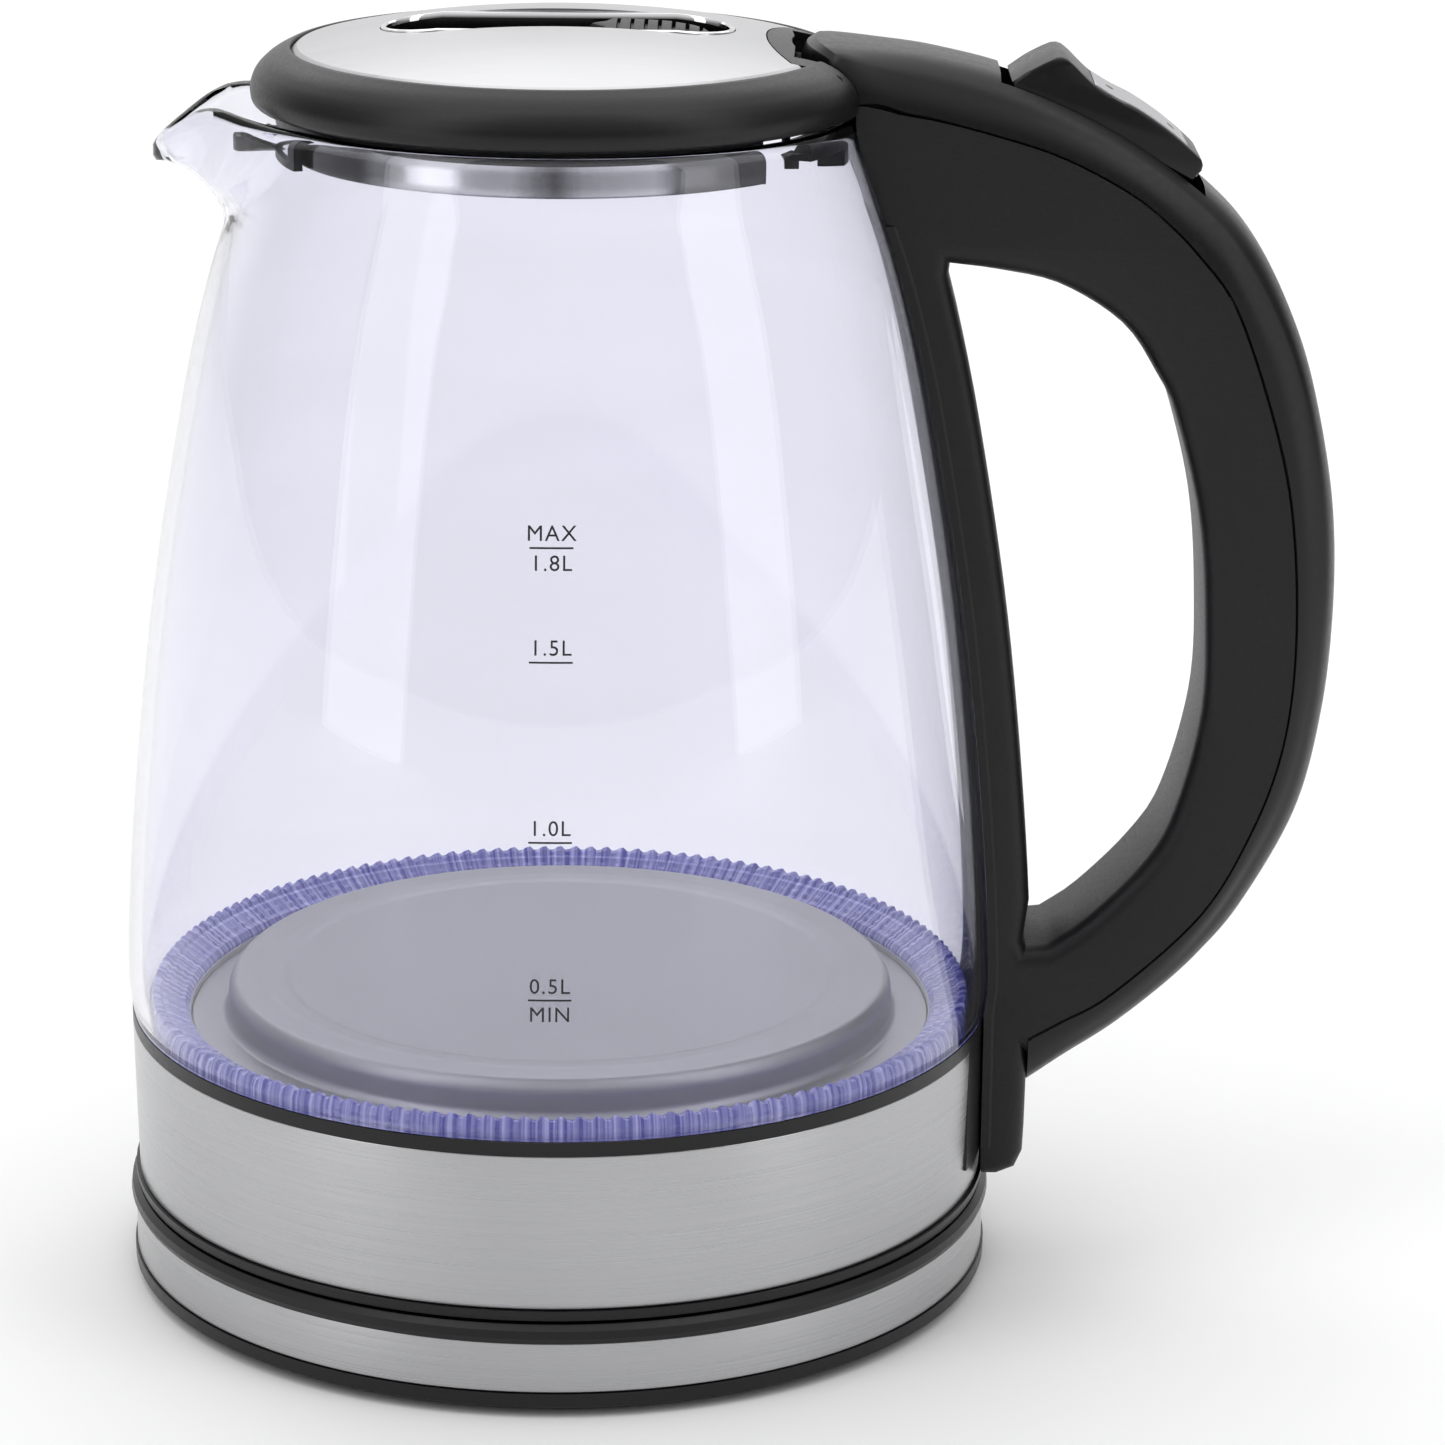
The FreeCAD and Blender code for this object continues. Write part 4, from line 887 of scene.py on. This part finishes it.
# ---- lid -----------------------------------------------------------------------------------------
DOME_H = 5.3             # how far the lid plate bulges
DOME_R = (PLATE_R ** 2 + DOME_H ** 2) / (2 * DOME_H)
PLATE_TOP_Z = LID_Z + 15.5
NOTCH_HALF = HALF_W + 0.7
SHOULDER = 4.6           # width of the black border round the handle's nose


def dome_z(x, y):
    return PLATE_TOP_Z - DOME_R + math.sqrt(DOME_R ** 2 - x * x - y * y)


def notch_tool(grow, name):
    """What the lid leaves free for the handle's nose, rounded in plan."""
    front = PIVOT_X - 6.9 - grow
    half = NOTCH_HALF + grow * 1.15
    bend = [(front + 4.2 * (abs(t) ** 2.2), half * t) for t in [-1 + 0.1 * k for k in range(21)]]
    plan = [(90.0, -half - 7.0), (PIVOT_X + 2.2, -half - 0.6)] + bend
    plan += [(PIVOT_X + 2.2, half + 0.6), (90.0, half + 7.0)]
    return prism(name, plan, 200, 250)


def hinge_room():
    """Room for the handle's nose to stay in while the lid swings round it."""
    nose = arc(PIVOT_X, PIVOT_Z, 8.1, 0, 354, 59)
    behind = [(PIVOT_X, 200), (95, 200), (95, 250), (PIVOT_X, 250)]
    return [prism("hinge_room", nose, -NOTCH_HALF, NOTCH_HALF, axis="Y"),
            prism("behind", behind, -NOTCH_HALF, NOTCH_HALF, axis="Y")]


def lid_border():
    z = LID_Z
    outline = [(LID_R - 3.0, z, 0.5), (LID_R - 0.5, z + 0.5, 1.4), (LID_R, z + 3.3, 2.0),
               (LID_R - 1.0, z + 6.2, 1.6), (LID_R - 3.6, z + 8.7, 2.0), (LID_R - 6.6, z + 10.2, 0.6),
               (PLATE_R + 0.35, z + 10.25, 0.25), (PLATE_R + 0.3, z + 9.3, 0), (PLATE_R - 3.7, z + 9.3, 0),
               (PLATE_R - 3.7, z + 7.2, 0), (LID_R - 6.8, z + 6.6, 0), (LID_R - 4.2, z + 4.0, 0),
               (LID_R - 4.2, z, 0)]
    return lathe("lid_border", rounded(outline, 7), 224)


def lid_shoulder():
    """The black border between the steel plate and the handle's nose, under the same dome."""
    r, low = PLATE_R + 0.3, LID_Z + 9.35
    top = [(r * k / 30.0, dome_z(r * k / 30.0, 0)) for k in range(31)]
    outline = [(0.01, low), (r, low)] + [(max(a, 0.01), b) for a, b in reversed(top)]
    return cut(lathe("shoulder", outline, 224), [notch_tool(SHOULDER - 0.25, "keep")], "INTERSECT")


def lid_rim():
    rim = cut(lid_border(), [lid_shoulder()], "UNION")
    cut(rim, [notch_tool(0.0, "nose")] + hinge_room())
    ears = []
    for side in (-1, 1):
        low, high = sorted((side * (HALF_W + 0.8), side * (HALF_W + 4.0)))
        ears.append(prism("ear", circle(PIVOT_X, PIVOT_Z, 2.1), low, high, axis="Y"))
    cut(rim, ears, "UNION")
    reach = HALF_W + 4.55
    bore = prism("bore", circle(PIVOT_X, PIVOT_Z, PIN_HOLE_R), -reach, reach, axis="Y")
    return cut(rim, [bore], sharp=32)


def lid_plate():
    """The domed steel plate, with a turned-down edge, the hole for the cup and the notch for the nose."""
    r = PLATE_R
    flat_r, rim_z = r - 0.9, dome_z(r, 0)
    top = [(max(0.01, flat_r * k / 40.0), dome_z(flat_r * k / 40.0, 0)) for k in range(41)]
    edge = [(r - 0.15, rim_z - 0.42), (r, rim_z - 0.6), (flat_r, rim_z - 0.7)]
    under = [(a, b - SHEET) for a, b in reversed(top[:-1])]
    plate = lathe("lid_plate_finished", top + edge + under, sharp=12)
    x0, x1, half = CUP_LOW[0], CUP_HIGH[0], CUP_HIGH[1]
    hole = prism("hole", stadium(x0 - 0.15, x1 + 0.15, half + 0.15, 28), 200, 250)
    plate = cut(plate, [hole, notch_tool(SHOULDER, "nose")], sharp=12)
    return bevelled(plate, 0.22, 2, 40)


def cup_loop(inset):
    return stadium(CUP_LOW[0] + inset, CUP_HIGH[0] - inset, CUP_HIGH[1] - inset, 28)


def on_dome(plan, height):
    return [(x, y, dome_z(x, y) + height) for x, y in plan]


def recess_ring():
    """The bright rim that lies round the cup's mouth."""
    section = [(0.0, -2.5), (0.0, 0.15), (0.15, 0.34), (0.4, 0.42), (0.7, 0.34), (0.95, 0.05), (1.05, -0.6),
               (0.5, -1.1)]
    return tidy(grid("recess_trim", [on_dome(cup_loop(inset), height) for inset, height in section]))


def recess_cup():
    """The black cup that the trigger lies in, with a slot in its floor for the trigger's stem."""
    floor_z = CUP_LOW[2] + 1.2
    rows = [on_dome(cup_loop(1.05), -0.6), on_dome(cup_loop(1.25), -3.0)]
    for inset, rise in ((1.3, 0.6), (2.2, 0.0), (2.2, -1.1), (0.2, -1.1), (0.0, 0.4)):
        rows.append([(x, y, floor_z + rise) for x, y in cup_loop(inset)])
    rows += [on_dome(cup_loop(0.0), -2.5), on_dome(cup_loop(0.0), -0.5)]
    cup = tidy(grid("recess_cup", rows))
    x0, x1, half = TRIGGER_LOW[0] + 3.5, TRIGGER_LOW[0] + 15.5, 3.2
    slot = prism("stem_slot", [(x0, -half), (x1, -half), (x1, half), (x0, half)], 215, CUP_LOW[2] + 3)
    return cut(cup, [slot])


def lid_trigger():
    """The finger pad: a rounded bar with a beak, seven grooves and a dimple at both ends of each."""
    x0, x1, half = TRIGGER_LOW[0], TRIGGER_HIGH[0], TRIGGER_HIGH[1]
    low = CUP_LOW[2] + 1.5
    side = arc(x1 - half, 0, half, -90, 90, 24)
    plan = side + [(x0 + 5, half), (x0 + 3.4, half - 1.4), (x0 + 2.2, 2.4), (x0, 0), (x0 + 2.2, -2.4),
                   (x0 + 3.4, 1.4 - half), (x0 + 5, -half)]
    middle = (x0 + x1) / 2

    rows = [[(x, y, low) for x, y in plan]]
    for share, height in ((1.0, -2.4), (0.985, -1.7), (0.95, -1.25), (0.9, -1.05), (0.6, -1.0), (0.3, -1.0),
                          (0.02, -1.0)):
        rows.append([(middle + (x - middle) * share, y * share, dome_z(x * share, y * share) + height)
                     for x, y in plan])
    pad = tidy(grid("trigger_pad", rows, closed=False))
    cuts = []
    for i in range(7):
        x = x0 + 5 + 2.45 * i
        reach = half - 1.1 - max(0.0, x - (x1 - half)) * 0.25
        z = dome_z(x, 0) - 1.0
        cuts.append(prism("groove", [(x, z - 0.7), (x + 0.55, z - 0.7), (x + 0.75, z + 2), (x - 0.2, z + 2)],
                          -reach + 0.9, reach - 0.9, axis="Y"))
        for s in (-1, 1):
            cuts.append(prism("dimple", arc(x + 0.27, s * (reach - 0.2), 0.55, 0, 330, 11), z - 1.0, z + 2))
    pad = cut(pad, cuts, sharp=30)
    s0, s1, stem_half = x0 + 7, x0 + 15, 2.8
    stem_plan = [(s0, -stem_half), (s1, -stem_half), (s1, stem_half), (s0, stem_half)]
    stem = prism("stem", stem_plan, LID_Z + 2.1, low + 0.4)
    return cut(pad, [stem], "UNION", sharp=30)


def lid_cap():
    """The polished skirt that hangs in the mouth, cut flat beside the clamp."""
    z, top, r = CAP_LOW[2], CAP_HIGH[2], -CAP_LOW[0]
    outline = [(0.01, z, 0), (r, z, 1.1), (r, z + 1.6, 0.4), (r - 0.15, top - 0.6, 0.3), (r - 0.1, top, 0),
               (r - SHEET, top, 0), (r - SHEET, z + SHEET, 0), (0.01, z + SHEET, 0)]
    cap = lathe("inner_cap", rounded(outline, 6), sharp=30)
    flat = PIVOT_X - 12
    keep = prism("keep", [(-80, -80), (flat - SHEET, -80), (flat - SHEET, 80), (-80, 80)], 150, 260)
    cut(cap, [keep], "INTERSECT")
    y = math.sqrt((r - 0.1) ** 2 - flat ** 2)
    wall = prism("wall", [(flat - 0.8, -y), (flat, -y), (flat, y), (flat - 0.8, y)], z, top)
    return cut(cap, [wall], "UNION", sharp=30)


def strainer_tab():
    """The ridged dark tab that carries the strainer, seen through the spout."""
    x0, z = STRAINER_LOW[0], STRAINER_LOW[2] + 0.3
    length, thick, last = 10.0, 2.2, 14
    rows = []
    for k in range(last + 1):
        t = k / last
        x = x0 + t * length
        half = 5.0 * math.sqrt(max(0.0, 1 - (1 - min(1, t * 2.2)) ** 2)) * (1 - 0.12 * t) + 0.15
        lift = 1.5 * math.sin(t * 2.6) + (0.35 if k % 3 == 1 else 0.0)
        crest = z + thick + lift
        rows.append([(x, -half, z + lift * 0.5), (x, -half * 0.8, crest), (x, 0, crest + 0.5),
                     (x, half * 0.8, crest), (x, half, z + lift * 0.5),
                     (x, half * 0.6, z), (x, -half * 0.6, z)])
    return tidy(grid("strainer_carrier", rows, closed=False, sharp=50))


def frame_bar(z0, z1, a0, a1):
    """One side of the strainer's frame: a curved bar between two heights and two angles."""
    r0, r1 = 48.5, 50.1
    section = [(r0, z0), (r1, z0), (r1, z1), (r0, z1)]
    rows = []
    for k in range(25):
        a = math.radians(a0 + (a1 - a0) * k / 24)
        rows.append([(r * math.cos(a), r * math.sin(a), h) for r, h in section])
    return tidy(grid("frame_bar", rows, closed=False))


def strainer_bars():
    low, high = STRAINER_LOW[2] + 0.1, STRAINER_HIGH[2]
    return [frame_bar(low, low + 1.4, 154, 206), frame_bar(high - 1.2, high, 154, 206),
            frame_bar(low + 1.3, high - 1.1, 154, 157.5), frame_bar(low + 1.3, high - 1.1, 202.5, 206)]


def lid():
    piece(lid_rim(), "lid_black", "lid", ["lid_rim"])
    piece(lid_plate(), "plate_steel", "lid", ["lid_plate"])
    piece(recess_cup(), "gloss_black", "lid", ["lid_recess"])
    piece(recess_ring(), "polished_steel", "lid", [])
    piece(lid_trigger(), "grained_black", "trigger", ["lid_trigger"])
    piece(strainer_tab(), "grained_black", "lid", ["strainer_frame"])
    for bar in strainer_bars():
        piece(bar, "grained_black", "lid", [])
    piece(lid_cap(), "skirt_painted_reflection", "lid", ["lid_inner_cap"])


# ---- rocker --------------------------------------------------------------------------------------
ROCKER_X = 97.0
ROCKER_Z = PIVOT_Z - 7.0             # middle of the rocker's side view
AXLE_Z = PIVOT_Z - 12.5
ROCKER_HALF = (ROCKER_HIGH[1] - ROCKER_LOW[1]) / 2
PLATE_CURVE = [(-2.2, 6.1), (1.5, 3.9), (5.6, 1.85), (10.6, -1.5), (14.6, -4.9)]


def rocker_slab():
    """The rocker's side view, drawn across the handle with rounded ends."""
    top = smooth([(-17.0, 6.6), (-13.5, 9.0), (-9.6, 10.9), (-8.0, 10.95), (-6.4, 9.9), (-2.5, 6.2),
                  (1.5, 3.8), (5.6, 1.75), (11.0, -1.9), (16.4, -6.5), (17.2, -8.0)], 44)
    low = [(17.0, -9.0), (15.5, -10.6), (4.0, -4.5), (-8.0, 1.5), (-16.2, 3.4)]
    ends = [(ROCKER_HALF, 0.7), (ROCKER_HALF - 0.25, 0.22), (ROCKER_HALF - 0.8, 0.0)]
    rows = []
    for y, inset in [(-y, inset) for y, inset in ends] + ends[::-1]:
        row = []
        for x, z in top + low:
            share = 1 - inset / max(math.hypot(x, z), 3)
            row.append((ROCKER_X + x * share, y, ROCKER_Z + z * share))
        rows.append(row)
    return tidy(grid("rocker_body", rows, closed=False, sharp=40))


def rocker_body(curve):
    """The slab with its hub, the pocket for the silver plate and the bore for the pin."""
    half = ROCKER_HALF - 2.0 + 0.15
    over = [(x, z + 2.5) for x, z in curve]
    bed = [(x - 0.25, z - 0.6) for x, z in reversed(curve)]
    pocket = prism("pocket", over + bed, -half, half, axis="Y")
    bore = prism("bore", circle(ROCKER_X, AXLE_Z, 1.55), -30, 30, axis="Y")
    hub_r = 3.2
    hub = arc(ROCKER_X, AXLE_Z, hub_r, 180, 360, 16)
    hub += [(ROCKER_X + hub_r, ROCKER_Z + 1.5), (ROCKER_X - hub_r, ROCKER_Z + 2.5)]
    body = cut(rocker_slab(), [prism("hub", hub, 0.4 - ROCKER_HALF, ROCKER_HALF - 0.4, axis="Y")], "UNION")
    return cut(body, [pocket, bore], sharp=40)


def rocker_plate(upper):
    half = ROCKER_HALF - 2.0
    lower = [(x - 0.3, z - 0.7) for x, z in reversed(upper)]
    return bevelled(prism("rocker_plate", upper + lower, -half, half, axis="Y"), 0.18, 2, 50)


def rocker_mark(start, end):
    """A small printed disc that lies on the plate at the start of one of its stretches."""
    (xa, za), (xb, zb) = start, end
    size, lean = 0.85, math.atan2(zb - za, xb - xa)
    rows = []
    for h in (-0.2, 0.03):
        rows.append([(xa + size * math.cos(a) * math.cos(lean) - math.sin(lean) * h, size * math.sin(a),
                      za + size * math.cos(a) * math.sin(lean) + math.cos(lean) * h)
                     for a in [2 * math.pi * j / 24 for j in range(24)]])
    return tidy(grid("rocker_mark", rows, closed=False))


def rocker():
    """A thumb rocker: a sloping, hollowed top with a silver plate let into it."""
    curve = [(ROCKER_X + x, ROCKER_Z + z) for x, z in smooth(PLATE_CURVE, 24)]
    upper = [(x, z + 0.06) for x, z in curve]
    body, plate = rocker_body(curve), rocker_plate(upper)
    marks = [rocker_mark(upper[k], upper[k + 1]) for k in (4, 19)]
    piece(body, "satin_black", "rocker", ["rocker"])
    piece(plate, "silver_plastic", "rocker", ["rocker_insert"])
    for mark in marks:
        piece(mark, "ink", "rocker")


def run_scene():
    camera()
    studio()
    dress_cad_nodes()
    power_base()
    jug_foot()
    glass()
    level_marks()
    heater()
    light_ring()
    handle()
    lid()
    rocker()


run_scene()
